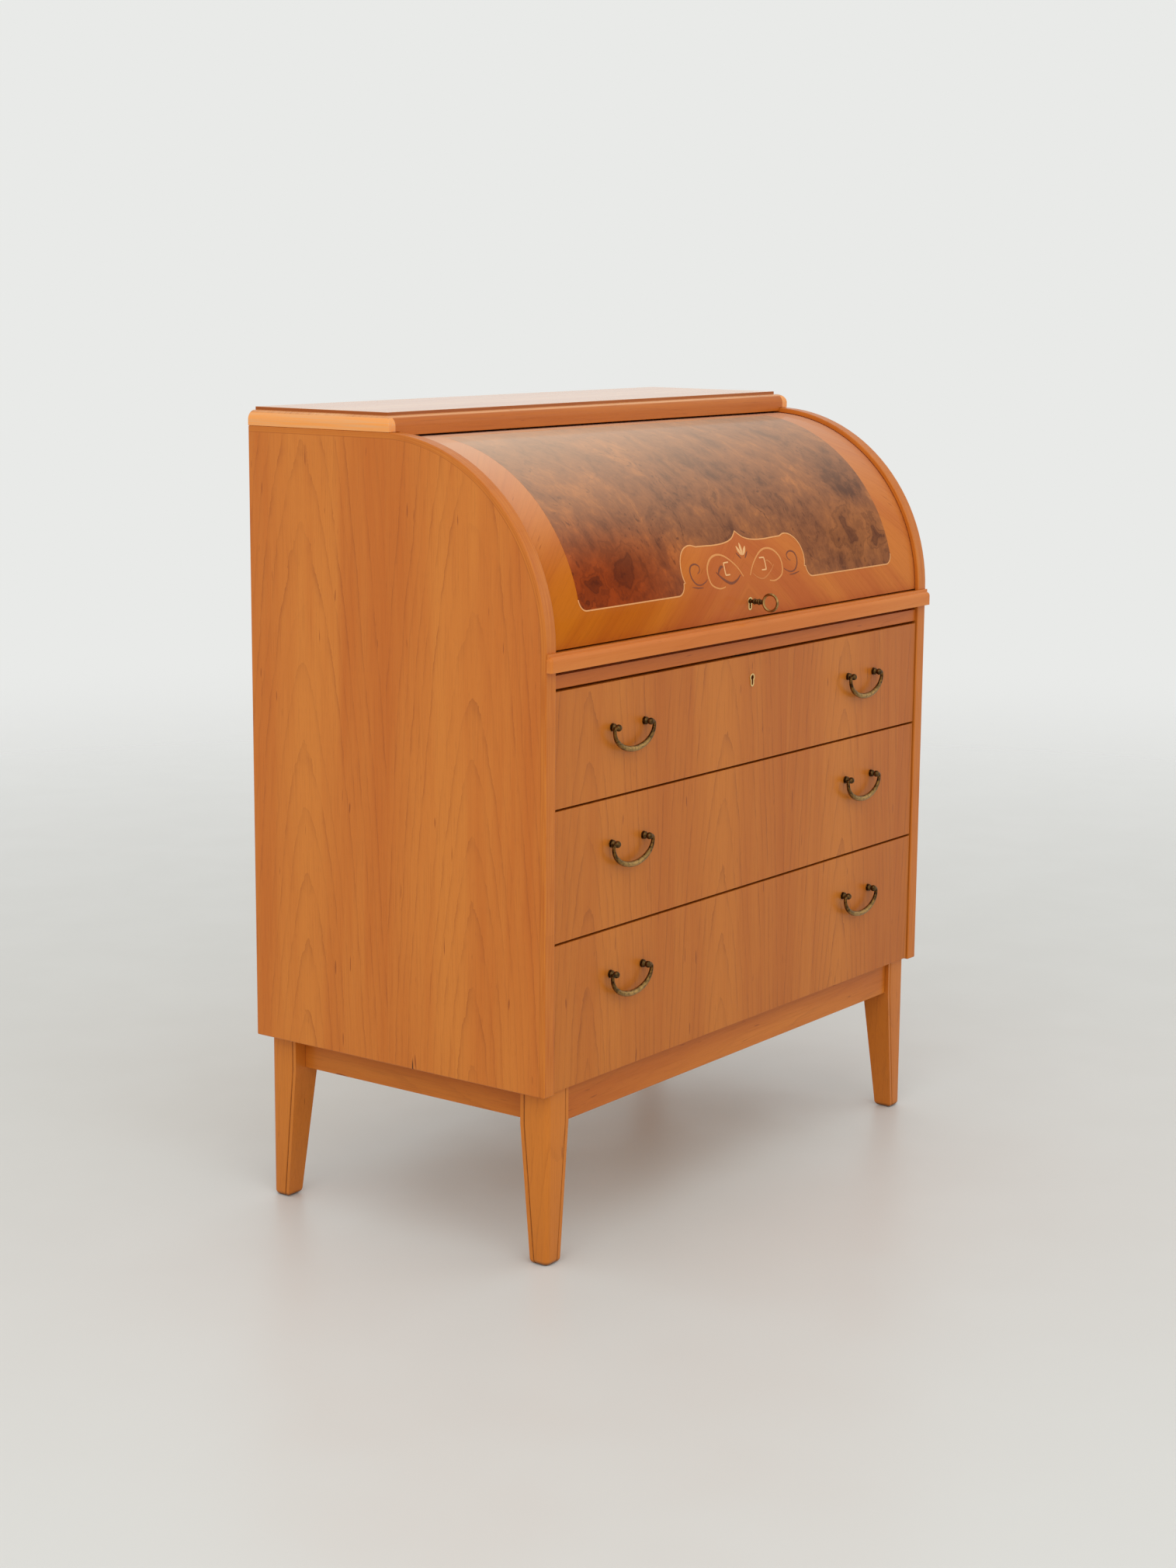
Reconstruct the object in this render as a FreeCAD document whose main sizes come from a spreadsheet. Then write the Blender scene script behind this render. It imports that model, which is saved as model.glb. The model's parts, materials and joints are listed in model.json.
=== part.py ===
import FreeCAD, Part
import os

# Driving sizes of the desk, in millimetres and degrees
SIZES = {
    # Carcass
    "width": 890,
    "depth": 470,
    "leg_height": 220,
    "carcass_height": 787,
    "side_thickness": 20,
    "arc_radius": 248,
    "back_thickness": 6,
    "back_rebate": 8,
    "bottom_thickness": 18,
    "bottom_reveal": 2.5,
    # Top board
    "top_thickness": 23,
    "top_overhang": 9,
    "top_step": 4,
    "top_step_inset": 14,
    "top_round": 12,
    "top_lip": 4.5,
    "top_lip_depth": 16,
    "top_lip_gap": 0.5,
    # Curved lid
    "lid_reveal": 7,
    "lid_thickness": 12,
    "lid_start": 0.3,
    "lid_sweep": 90.7,
    "groove_depth": 7,
    "groove_clearance": 0.4,
    "groove_end_gap": 1,
    "groove_start": -1,
    "groove_sweep": 172,
    # Writing slide
    "slide_thickness": 18,
    "slide_drop": 1,
    "slide_side_gap": 0.6,
    "slide_back_gap": 12,
    "run_gap": 0.3,
    "moulding_height": 22,
    "moulding_projection": 8,
    "moulding_round": 6,
    "moulding_end_round": 3,
    "moulding_fillet_height": 3,
    "moulding_fillet_depth": 3.2,
    "moulding_fillet_inset": 1,
    # Board and rail under the slide
    "bed_thickness": 18,
    "rail_height": 25,
    "rail_thickness": 20,
    "rail_set_back": 4,
    "rail_slot": 6.5,
    # Large drawers
    "drawer_1_height": 141,
    "drawer_2_height": 161,
    "drawer_gap": 3,
    "drawer_side_gap": 2,
    "drawer_set_back": 2.5,
    "drawer_front_thickness": 20,
    "drawer_side_thickness": 13,
    "drawer_back_thickness": 12,
    "drawer_back_gap": 24,
    "box_lift": 18,
    "box_drop": 15,
    "drawer_bottom_thickness": 5,
    "drawer_bottom_rise": 8,
    "drawer_bottom_tongue": 6,
    "runner_height": 16,
    "runner_width": 8.5,
    "runner_clearance": 0.5,
    "runner_rise": 40,
    # Drop handles
    "handle_inset": 170,
    "handle_drop": 56,
    "handle_spread": 67.5,
    "rosette_radius": 4.8,
    "rosette_thickness": 3,
    "neck_radius": 2.6,
    "head_radius": 4.4,
    "head_reach": 9.5,
    "stud_length": 14,
    "bail_gap": 0.4,
    "bail_depth": 25.5,
    "bail_bend": 4,
    "bail_end_radius": 2.4,
    "bail_middle_radius": 3.8,
    "bail_pin_radius": 1.3,
    "bail_pin_depth": 2.5,
    "bail_pin_clearance": 0.06,
    # Locks, keyholes and key
    "lid_key_height": 22,
    "drawer_key_drop": 30,
    "keyhole_radius": 3.2,
    "keyhole_slot": 1.8,
    "keyhole_drop": 8,
    "escutcheon_rim": 2.2,
    "escutcheon_depth": 3,
    "escutcheon_proud": 1,
    "lock_width": 60,
    "lock_height": 42,
    "lock_depth": 18,
    "lock_cover": 6,
    "lock_wall": 3,
    "bolt_width": 12,
    "bolt_thickness": 5,
    "bolt_length": 22,
    "bolt_clearance": 0.3,
    "bolt_travel": 8,
    "strike_clearance": 1,
    "key_reach": 36,
    "key_bow_radius": 10.7,
    "key_wire_radius": 1.8,
    "key_shank_radius": 2.7,
    "key_collar_radius": 3.8,
    "key_collar_length": 2.5,
    "key_bit_length": 7,
    "key_bit_height": 8,
    "key_bit_thickness": 2.4,
    "key_bit_room": 0.6,
    # Inside of the desk
    "bay_width": 8,
    "interior_board": 10,
    "interior_back": 4,
    "interior_front": 230,
    "interior_set_back": 64,
    "interior_height": 150,
    "interior_shelf": 6,
    "small_drawer_height": 52,
    "small_drawer_wall": 6,
    "small_drawer_floor": 4,
    "small_drawer_front": 10,
    "small_drawer_gap": 0.8,
    "knob_radius": 6,
    "knob_reach": 12,
    "knob_stem_radius": 3,
    # Cord drive between slide and lid
    "peg_radius": 3,
    "peg_length": 6,
    "rear_peg_gap": 12,
    "rear_peg_height": 16,
    "front_peg_set_back": 32,
    "front_peg_height": 24,
    "lid_pin_radius": 1.8,
    "lid_pin_length": 4,
    "lid_pin_angle": 3,
    "hook_radius": 1.8,
    "hook_height": 9,
    "hook_gap": 18,
    # Base frame
    "leg_size": 42,
    "leg_foot": 26,
    "leg_inset_x": 18,
    "leg_inset_y": 8.5,
    "leg_nose": 11,
    "leg_quirk": 1.5,
    "apron_height": 44,
    "apron_thickness": 20,
    "front_apron_set_back": 5,
    "side_apron_set_back": 18,
    "block_size": 34,
}

# Places worked out from the driving sizes
HALF = "(sizes.width / 2)"
INNER = "(sizes.width / 2 - sizes.side_thickness)"
FRONT = "((sizes.key_reach - sizes.depth) / 2)"
BACK = f"({FRONT} + sizes.depth)"
BACK_PANEL = f"({BACK} - sizes.back_thickness)"
BASE = "sizes.leg_height"
CARCASS_TOP = "(sizes.leg_height + sizes.carcass_height)"
AXIS_Y = f"({FRONT} + sizes.arc_radius)"
AXIS_Z = f"({CARCASS_TOP} - sizes.arc_radius)"
LID_OUTER = "(sizes.arc_radius - sizes.lid_reveal)"
LID_INNER = f"({LID_OUTER} - sizes.lid_thickness)"
LID_HALF = f"({INNER} + sizes.groove_depth - sizes.groove_end_gap)"
SLIDE_TOP = f"({AXIS_Z} - sizes.slide_drop)"
SLIDE_LOW = f"({SLIDE_TOP} - sizes.slide_thickness)"
SLIDE_BACK = f"({BACK_PANEL} - sizes.slide_back_gap)"
SLIDE_FRONT = f"({FRONT} - sizes.run_gap)"
BED_TOP = f"({SLIDE_LOW} - sizes.run_gap)"
BED_LOW = f"({BED_TOP} - sizes.bed_thickness)"
RAIL_LOW = f"({BED_TOP} - sizes.rail_height)"
RAIL_FRONT = f"({FRONT} + sizes.rail_set_back)"
RAIL_BACK = f"({RAIL_FRONT} + sizes.rail_thickness)"
DRAWER_FACE = f"({FRONT} + sizes.drawer_set_back)"
DRAWER_FRONT_BACK = f"({DRAWER_FACE} + sizes.drawer_front_thickness)"
DRAWER_END = f"({BACK_PANEL} - sizes.drawer_back_gap)"
DRAWER_HALF = f"({INNER} - sizes.drawer_side_gap)"
BOX_INNER = f"({DRAWER_HALF} - sizes.drawer_side_thickness)"
INTERIOR_FRONT = f"({FRONT} + sizes.interior_front)"
INTERIOR_END = f"({BACK_PANEL} - sizes.interior_set_back)"
INTERIOR_HALF = f"({INNER} - sizes.bay_width)"
FLOOR_LOW = f"({SLIDE_TOP} + sizes.run_gap)"
FLOOR_TOP = f"({FLOOR_LOW} + sizes.interior_board)"
ROOF_TOP = f"({AXIS_Z} + sizes.interior_height)"
ROOF_LOW = f"({ROOF_TOP} - sizes.interior_board)"
LID_KEY_Z = f"({AXIS_Z} + sizes.lid_key_height)"
LOCK_FRONT = f"({FRONT} + sizes.lid_reveal + sizes.lock_cover)"
LOCK_BACK = f"({LOCK_FRONT} + sizes.lock_depth)"
LID_FACE = f"({AXIS_Y} - sqrt({LID_OUTER}^2 - sizes.lid_key_height^2))"
LOCK_LOW = f"({AXIS_Z} + {LID_INNER} * sin(sizes.lid_start))"

# Drawer fronts from the top one down, as pairs of lower and upper edge
DRAWER_TOPS = [f"({RAIL_LOW} - sizes.drawer_gap)"]
DRAWER_LOWS = [f"({DRAWER_TOPS[0]} - sizes.drawer_1_height)"]
DRAWER_TOPS.append(f"({DRAWER_LOWS[0]} - sizes.drawer_gap)")
DRAWER_LOWS.append(f"({DRAWER_TOPS[1]} - sizes.drawer_2_height)")
DRAWER_TOPS.append(f"({DRAWER_LOWS[1]} - sizes.drawer_gap)")
DRAWER_LOWS.append(f"({BASE} + sizes.bottom_reveal)")

SIDES = {"left": -1, "right": 1}
TOUCH = 0.1
TURNS = {
    "x": FreeCAD.Rotation(FreeCAD.Vector(0, 1, 0), 90),
    "y": FreeCAD.Rotation(FreeCAD.Vector(1, 0, 0), -90),
    "z": FreeCAD.Rotation(),
}

doc = FreeCAD.newDocument("roll_top_desk")
sheet = doc.addObject("Spreadsheet::Sheet", "sizes")
for row, (alias, value) in enumerate(SIZES.items(), start=1):
    sheet.set(f"A{row}", alias)
    sheet.set(f"B{row}", str(value))
    sheet.setAlias(f"B{row}", alias)
doc.recompute()

pieces = []


def piece(label, shape):
    """Names a finished sub-part."""
    shape.Label = label
    pieces.append(shape)
    return shape


def bind(thing, **expressions):
    """Ties a feature's sizes to the sheet."""
    for size, expression in expressions.items():
        thing.setExpression(size, str(expression))
    return thing


def place(thing, x, y, z):
    """Ties a feature's place to the sheet."""
    for axis, expression in zip("xyz", (x, y, z)):
        thing.setExpression(f"Placement.Base.{axis}", str(expression))
    return thing


def across(low, high, side):
    """A span in x that is mirrored to the right or left side."""
    if side > 0:
        return low, high
    return f"(0 - {high})", f"(0 - {low})"


def block(x, y, z):
    """A box between pairs of lower and upper places."""
    box = doc.addObject("Part::Box", "block")
    bind(box, Length=f"{x[1]} - {x[0]}", Width=f"{y[1]} - {y[0]}", Height=f"{z[1]} - {z[0]}")
    return place(box, x[0], y[0], z[0])


def rod(radius, axis, length, at):
    """A cylinder from a point along the x, y or z axis."""
    cylinder = doc.addObject("Part::Cylinder", "rod")
    bind(cylinder, Radius=radius, Height=length)
    cylinder.Placement = FreeCAD.Placement(FreeCAD.Vector(), TURNS[axis])
    return place(cylinder, *at)


def fuse(*shapes):
    joined = doc.addObject("Part::MultiFuse", "joined")
    joined.Shapes = list(shapes)
    joined.Refine = True
    return joined


def cut(base, *tools):
    worked = doc.addObject("Part::Cut", "worked")
    worked.Base = base
    worked.Tool = tools[0] if len(tools) == 1 else fuse(*tools)
    return worked


def group(*solids):
    """Like pieces that share a name but stay separate solids."""
    compound = doc.addObject("Part::Compound", "set")
    compound.Links = list(solids)
    return compound


def ring_sector(outer, inner, x, start, sweep):
    """A curved slab about the lid's axis, with angles counted up from the front."""
    wedges = []
    turn = f"rotation(vector(1; 0; 0); 0 - 90 - ({start}) - ({sweep})) * rotation(vector(0; 1; 0); 90)"
    for radius in (outer, inner):
        wedge = doc.addObject("Part::Cylinder", "sector")
        bind(wedge, Radius=radius, Height=f"{x[1]} - {x[0]}", Angle=sweep)
        wedge.setExpression("Placement.Rotation", turn)
        wedges.append(place(wedge, x[0], AXIS_Y, AXIS_Z))
    return cut(*wedges)


def edges_at(feature, test):
    """Names of the edges whose middle passes a test, given with the feature's bounds."""
    edges = enumerate(feature.Shape.Edges, start=1)
    bounds = feature.Shape.BoundBox
    return [f"Edge{number}" for number, edge in edges if test(edge.CenterOfMass, bounds)]


def at_front(point, bounds):
    return point.y < bounds.YMin + TOUCH


def at_back(point, bounds):
    return point.y > bounds.YMax - TOUCH


def at_top(point, bounds):
    return point.z > bounds.ZMax - TOUCH


def at_end(point, bounds):
    return abs(point.x) > bounds.XMax - TOUCH


def rounded(body, base, edges, radius):
    fillet = body.newObject("PartDesign::Fillet", "round")
    fillet.Base = (base, edges)
    fillet.setExpression("Radius", radius)
    body.Tip = fillet
    doc.recompute()
    return fillet


def slab_in(body, x, y, z):
    """A box feature of a body between pairs of lower and upper places."""
    slab = body.newObject("PartDesign::AdditiveBox", "slab")
    bind(slab, Length=f"{x[1]} - {x[0]}", Width=f"{y[1]} - {y[0]}", Height=f"{z[1]} - {z[0]}")
    place(slab, x[0], y[0], z[0])
    doc.recompute()
    return slab


def both(half):
    """A span in x about the middle of the desk."""
    return f"(0 - {half})", half


def keyhole(y, z, margin="0"):
    """A round hole with a slot below it, along y between two places."""
    depth = f"{y[1]} - {y[0]}"
    slot = f"(sizes.keyhole_slot + {margin})"
    foot = f"({z} - sizes.keyhole_drop)"
    return fuse(
        rod(f"sizes.keyhole_radius + {margin}", "y", depth, ("0", y[0], z)),
        block(both(slot), y, (foot, z)),
        rod(slot, "y", depth, ("0", y[0], foot)),
    )


def side_panel(name, side):
    x = across(INNER, HALF, side)
    height = (BASE, CARCASS_TOP)
    board = block(x, (FRONT, BACK), height)
    corner = block(x, (FRONT, AXIS_Y), (AXIS_Z, CARCASS_TOP))
    curve = rod("sizes.arc_radius", "x", "sizes.side_thickness", (x[0], AXIS_Y, AXIS_Z))
    groove = ring_sector(
        f"{LID_OUTER} + sizes.groove_clearance",
        f"{LID_INNER} - sizes.groove_clearance",
        across(INNER, f"({INNER} + sizes.groove_depth)", side),
        "sizes.groove_start",
        "sizes.groove_sweep",
    )
    rebate = block(across(INNER, f"({INNER} + sizes.back_rebate)", side), (BACK_PANEL, BACK), height)
    piece(name, cut(board, cut(corner, curve), groove, rebate))


def top_board():
    body = doc.addObject("PartDesign::Body", "top_board")
    front = f"({AXIS_Y} - sizes.top_overhang)"
    step_low = f"({CARCASS_TOP} + sizes.top_thickness - sizes.top_step)"
    slab = slab_in(body, both(HALF), (front, BACK), (CARCASS_TOP, step_low))
    moulded = edges_at(slab, lambda *place: at_top(*place) and not at_back(*place))
    rounded(body, slab, moulded, "sizes.top_round")
    slab_in(
        body,
        both(f"({HALF} - sizes.top_step_inset)"),
        (f"({front} + sizes.top_step_inset)", BACK),
        (step_low, f"({step_low} + sizes.top_step)"),
    )
    slab_in(
        body,
        both(f"({INNER} - sizes.top_lip_gap)"),
        (front, f"({front} + sizes.top_lip_depth)"),
        (f"({CARCASS_TOP} - sizes.top_lip)", CARCASS_TOP),
    )
    piece("top_board", body)


def carcass_boards():
    wide = both(INNER)
    behind_front = f"({DRAWER_FRONT_BACK} + sizes.drawer_gap)"
    bottom_top = f"({BASE} + sizes.bottom_thickness)"
    rebated = both(f"({INNER} + sizes.back_rebate)")
    rail_top = f"({BED_TOP} - sizes.rail_slot)"
    piece("back_panel", block(rebated, (BACK_PANEL, BACK), (BASE, CARCASS_TOP)))
    piece("bottom_board", block(wide, (behind_front, BACK_PANEL), (BASE, bottom_top)))
    piece("desk_bed", block(wide, (RAIL_BACK, BACK_PANEL), (BED_LOW, BED_TOP)))
    piece("front_rail", block(wide, (RAIL_FRONT, RAIL_BACK), (RAIL_LOW, rail_top)))


def runner_span(low):
    """Lower and upper place of a drawer's runner."""
    start = f"({low} + sizes.box_lift + sizes.runner_rise)"
    return start, f"({start} + sizes.runner_height)"


def drawer_runners():
    start = f"({DRAWER_FRONT_BACK} + sizes.drawer_gap)"
    strips = []
    for low in DRAWER_LOWS:
        for side in SIDES.values():
            x = across(f"({INNER} - sizes.runner_width)", INNER, side)
            strips.append(block(x, (start, BACK_PANEL), runner_span(low)))
    piece("drawer_runners", group(*strips))


def writing_slide():
    wide = both(f"({INNER} - sizes.slide_side_gap)")
    board = block(wide, (SLIDE_FRONT, SLIDE_BACK), (SLIDE_LOW, SLIDE_TOP))
    bolt = bolt_span("sizes.strike_clearance")
    mortise = block(bolt[0], bolt[1], (f"({SLIDE_TOP} - sizes.bolt_travel)", SLIDE_TOP))
    piece("writing_board", cut(board, mortise))
    body = doc.addObject("PartDesign::Body", "slide_moulding")
    face = f"({SLIDE_FRONT} - sizes.moulding_projection)"
    low = f"({AXIS_Z} - sizes.moulding_height)"
    fillet_low = f"({AXIS_Z} - sizes.moulding_fillet_height)"
    strip = slab_in(body, both(HALF), (face, SLIDE_FRONT), (low, fillet_low))
    ends = edges_at(strip, lambda *place: at_front(*place) and at_end(*place))
    softened = rounded(body, strip, ends, "sizes.moulding_end_round")
    crest = edges_at(softened, lambda *place: at_front(*place) and at_top(*place))
    rounded(body, softened, crest, "sizes.moulding_round")
    slab_in(
        body,
        both(f"({HALF} - sizes.moulding_fillet_inset)"),
        (f"({SLIDE_FRONT} - sizes.moulding_fillet_depth)", SLIDE_FRONT),
        (f"({fillet_low} - sizes.moulding_fillet_height)", AXIS_Z),
    )
    piece("slide_moulding", body)
    hooks = []
    for side in SIDES.values():
        x = f"{side} * ({INNER} - sizes.bay_width / 2)"
        at = (x, f"({SLIDE_BACK} - sizes.hook_gap)", SLIDE_TOP)
        hooks.append(rod("sizes.hook_radius", "z", "sizes.hook_height", at))
    piece("slide_cord_hooks", group(*hooks))


def bolt_span(margin):
    """Width and depth of the lid lock's bolt with a margin round it."""
    half = f"(sizes.bolt_width / 2 + {margin})"
    back = f"({LOCK_BACK} - sizes.lock_wall - sizes.bolt_clearance)"
    return both(half), (f"({back} - sizes.bolt_thickness - {margin})", f"({back} + {margin})")


def curved_lid():
    shell = ring_sector(LID_OUTER, LID_INNER, both(LID_HALF), "sizes.lid_start", "sizes.lid_sweep")
    lock_top = f"({LOCK_LOW} + sizes.lock_height)"
    lock_wide = both("(sizes.lock_width / 2)")
    recess = block(lock_wide, (LOCK_FRONT, LOCK_BACK), (AXIS_Z, lock_top))
    rim_front = f"({LID_FACE} - sizes.escutcheon_proud)"
    rim_back = f"({LID_FACE} + sizes.escutcheon_depth)"
    rim = (rim_front, rim_back)
    through = (rim_front, LOCK_FRONT)
    seat = keyhole(rim, LID_KEY_Z, "sizes.escutcheon_rim")
    piece("lid_panel", cut(shell, recess, seat, keyhole(through, LID_KEY_Z)))
    plate = keyhole(rim, LID_KEY_Z, "sizes.escutcheon_rim")
    piece("lid_escutcheon", cut(plate, keyhole(rim, LID_KEY_Z)))
    case = block(lock_wide, (LOCK_FRONT, LOCK_BACK), (LOCK_LOW, lock_top))
    room = bolt_span("sizes.bolt_clearance")
    bolt_top = f"({LOCK_LOW} + sizes.bolt_length)"
    bolt_room = block(room[0], room[1], (LOCK_LOW, f"({bolt_top} + sizes.bolt_clearance)"))
    piece("lid_lock_case", cut(case, bolt_room, key_room(LOCK_FRONT, LID_KEY_Z)))
    bolt = bolt_span("0")
    piece("lid_lock_bolt", block(bolt[0], bolt[1], (f"({LOCK_LOW} + sizes.bolt_clearance)", bolt_top)))
    pins = []
    seat_radius = f"sqrt({LID_INNER}^2 - sizes.lid_pin_radius^2)"
    lid_end = "(sizes.lid_start + sizes.lid_sweep - sizes.lid_pin_angle)"
    for side in SIDES.values():
        for angle in ("(sizes.lid_start + sizes.lid_pin_angle)", lid_end):
            pins.append(lid_pin(side, angle, f"({seat_radius} - sizes.lid_pin_length)"))
    piece("lid_cord_pins", group(*pins))


def lid_pin(side, angle, radius):
    """A short pin that points at the lid's axis from the inside of the lid."""
    pin = rod("sizes.lid_pin_radius", "z", "sizes.lid_pin_length", ("0", "0", "0"))
    pin.setExpression("Placement.Rotation", f"rotation(vector(1; 0; 0); 90 - {angle})")
    x = f"{side} * ({INNER} - sizes.bay_width / 2)"
    return place(pin, x, f"{AXIS_Y} - {radius} * cos({angle})", f"{AXIS_Z} + {radius} * sin({angle})")


def key_room(front, z):
    """The round space in a lock where the key's bit turns."""
    radius = "sizes.key_bit_height + sizes.key_bit_room"
    return rod(radius, "y", "sizes.key_bit_length + 2 * sizes.key_bit_room", ("0", front, z))


def key():
    bow_y = f"({FRONT} - sizes.key_reach + sizes.key_bow_radius + sizes.key_wire_radius)"
    bow = doc.addObject("Part::Torus", "bow")
    bind(bow, Radius1="sizes.key_bow_radius", Radius2="sizes.key_wire_radius")
    bow.Placement = FreeCAD.Placement(FreeCAD.Vector(), TURNS["x"])
    place(bow, "0", bow_y, LID_KEY_Z)
    shank_y = f"({bow_y} + sizes.key_bow_radius)"
    bit_y = f"({LOCK_FRONT} + sizes.key_bit_room)"
    shank_end = f"({bit_y} + sizes.key_bit_length)"
    collar = "sizes.key_collar_length"
    collars = [f"({shank_y} + {collar})", f"({LID_FACE} - sizes.escutcheon_proud - 2 * {collar})"]
    turned = [rod("sizes.key_collar_radius", "y", collar, ("0", y, LID_KEY_Z)) for y in collars]
    shank = rod("sizes.key_shank_radius", "y", f"{shank_end} - {shank_y}", ("0", shank_y, LID_KEY_Z))
    bit_low = f"({LID_KEY_Z} - sizes.key_bit_height)"
    bit = block(both("(sizes.key_bit_thickness / 2)"), (bit_y, shank_end), (bit_low, LID_KEY_Z))
    piece("key", fuse(bow, shank, bit, *turned))


def cord_pegs():
    places = [
        (f"({BACK_PANEL} - sizes.rear_peg_gap)", f"({SLIDE_TOP} + sizes.rear_peg_height)"),
        (f"({FRONT} + sizes.front_peg_set_back)", f"({AXIS_Z} + sizes.front_peg_height)"),
    ]
    pegs = []
    for side in SIDES.values():
        x = across(f"({INNER} - sizes.peg_length)", INNER, side)
        for y, z in places:
            pegs.append(rod("sizes.peg_radius", "x", "sizes.peg_length", (x[0], y, z)))
    piece("cord_pegs", group(*pegs))


def interior():
    wide = both(INTERIOR_HALF)
    deep = (INTERIOR_FRONT, INTERIOR_END)
    piece("interior_floor", block(wide, (INTERIOR_FRONT, BACK_PANEL), (FLOOR_LOW, FLOOR_TOP)))
    piece("interior_roof", block(wide, deep, (ROOF_LOW, ROOF_TOP)))
    back = (INTERIOR_END, f"({INTERIOR_END} + sizes.interior_back)")
    piece("interior_back", block(wide, back, (FLOOR_TOP, ROOF_TOP)))
    end_face = f"({INTERIOR_HALF} - sizes.interior_board)"
    tall = (FLOOR_TOP, ROOF_LOW)
    ends = [block(across(end_face, INTERIOR_HALF, side), deep, tall) for side in SIDES.values()]
    piece("interior_gables", group(*ends))
    half_board = "(sizes.interior_board / 2)"
    shelf_low = f"({FLOOR_TOP} + sizes.run_gap + sizes.small_drawer_height + sizes.small_drawer_gap)"
    shelf = (shelf_low, f"({shelf_low} + sizes.interior_shelf)")
    partitions = [block(both(half_board), deep, tall)]
    for name, side in SIDES.items():
        middle = f"({end_face} / 2)"
        upright = (f"({middle} - {half_board})", f"({middle} + {half_board})")
        bay = (upright[1], end_face)
        partitions.append(block(across(*upright, side), deep, tall))
        partitions.append(block(across(*bay, side), deep, shelf))
        small_drawer(f"small_drawer_{name}", bay, side)
    piece("interior_partitions", group(*partitions))


def small_drawer(name, bay, side):
    low = f"({FLOOR_TOP} + sizes.run_gap)"
    top = f"({low} + sizes.small_drawer_height)"
    gap = "sizes.small_drawer_gap"
    wall = "sizes.small_drawer_wall"
    outer = (f"({bay[0]} + {gap})", f"({bay[1]} - {gap})")
    inner = (f"({outer[0]} + {wall})", f"({outer[1]} - {wall})")
    end = f"({INTERIOR_END} - {gap})"
    inside = (f"({INTERIOR_FRONT} + sizes.small_drawer_front)", f"({end} - {wall})")
    box = block(across(*outer, side), (INTERIOR_FRONT, end), (low, top))
    hollow = block(across(*inner, side), inside, (f"({low} + sizes.small_drawer_floor)", top))
    piece(name, cut(box, hollow))
    middle = f"{side} * (({bay[0]} + {bay[1]}) / 2)"
    centre = f"({low} + sizes.small_drawer_height / 2)"
    head_y = f"({INTERIOR_FRONT} - sizes.knob_reach + sizes.knob_radius)"
    head = doc.addObject("Part::Sphere", "head")
    head.setExpression("Radius", "sizes.knob_radius")
    place(head, middle, head_y, centre)
    stem = rod("sizes.knob_stem_radius", "y", f"{INTERIOR_FRONT} - {head_y}", (middle, head_y, centre))
    piece(f"{name}_knob", fuse(head, stem))


def large_drawer(number, low, top):
    name = f"drawer_{number}"
    box_low = f"({low} + sizes.box_lift)"
    box = (box_low, f"({top} - sizes.box_drop)")
    floor_low = f"({box_low} + sizes.drawer_bottom_rise)"
    floor = (floor_low, f"({floor_low} + sizes.drawer_bottom_thickness)")
    tongue = f"({BOX_INNER} + sizes.drawer_bottom_tongue)"
    floor_front = f"({DRAWER_FRONT_BACK} - sizes.drawer_bottom_tongue)"
    deep = (DRAWER_FRONT_BACK, DRAWER_END)
    front = block(both(DRAWER_HALF), (DRAWER_FACE, DRAWER_FRONT_BACK), (low, top))
    cuts = [block(both(tongue), (floor_front, DRAWER_FRONT_BACK), floor)]
    posts = []
    for side_name, side in SIDES.items():
        middle = f"{side} * ({HALF} - sizes.handle_inset)"
        height = f"({top} - sizes.handle_drop)"
        bail(f"{name}_{side_name}_bail", middle, height)
        for end in (-1, 1):
            at = f"{middle} + {end} * sizes.handle_spread / 2"
            posts.append(handle_post(at, height))
            cuts.append(rod("sizes.neck_radius", "y", "sizes.stud_length", (at, DRAWER_FACE, height)))
    if number == 1:
        cuts += drawer_lock(top)
    piece(f"{name}_front", cut(front, *cuts))
    piece(f"{name}_handle_posts", group(*posts))
    run = runner_span(low)
    channel_z = (f"({run[0]} - sizes.runner_clearance)", f"({run[1]} + sizes.run_gap)")
    channel_x = f"({INNER} - sizes.runner_width - sizes.runner_clearance)"
    cheeks = []
    for side in SIDES.values():
        board = block(across(BOX_INNER, DRAWER_HALF, side), deep, box)
        channel = block(across(channel_x, DRAWER_HALF, side), deep, channel_z)
        slot = block(across(BOX_INNER, tongue, side), deep, floor)
        cheeks.append(cut(board, channel, slot))
    piece(f"{name}_sides", group(*cheeks))
    piece(f"{name}_bottom", block(both(tongue), (floor_front, DRAWER_END), floor))
    back_y = (f"({DRAWER_END} - sizes.drawer_back_thickness)", DRAWER_END)
    piece(f"{name}_back", block(both(BOX_INNER), back_y, (floor[1], box[1])))


def drawer_lock(top):
    """Makes the top drawer's lock and keyhole plate, and gives the cuts that seat them."""
    z = f"({top} - sizes.drawer_key_drop)"
    wide = both("(sizes.lock_width / 2)")
    case_front = f"({DRAWER_FACE} + sizes.lock_cover)"
    case = (wide, (case_front, DRAWER_FRONT_BACK), (f"({top} - sizes.lock_height)", top))
    rim = (f"({DRAWER_FACE} - sizes.escutcheon_proud)", f"({DRAWER_FACE} + sizes.escutcheon_depth)")
    through = (rim[0], case_front)
    plate = keyhole(rim, z, "sizes.escutcheon_rim")
    piece("drawer_escutcheon", cut(plate, keyhole(rim, z)))
    piece("drawer_lock_case", cut(block(*case), key_room(case_front, z)))
    return [block(*case), keyhole(rim, z, "sizes.escutcheon_rim"), keyhole(through, z)]


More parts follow.
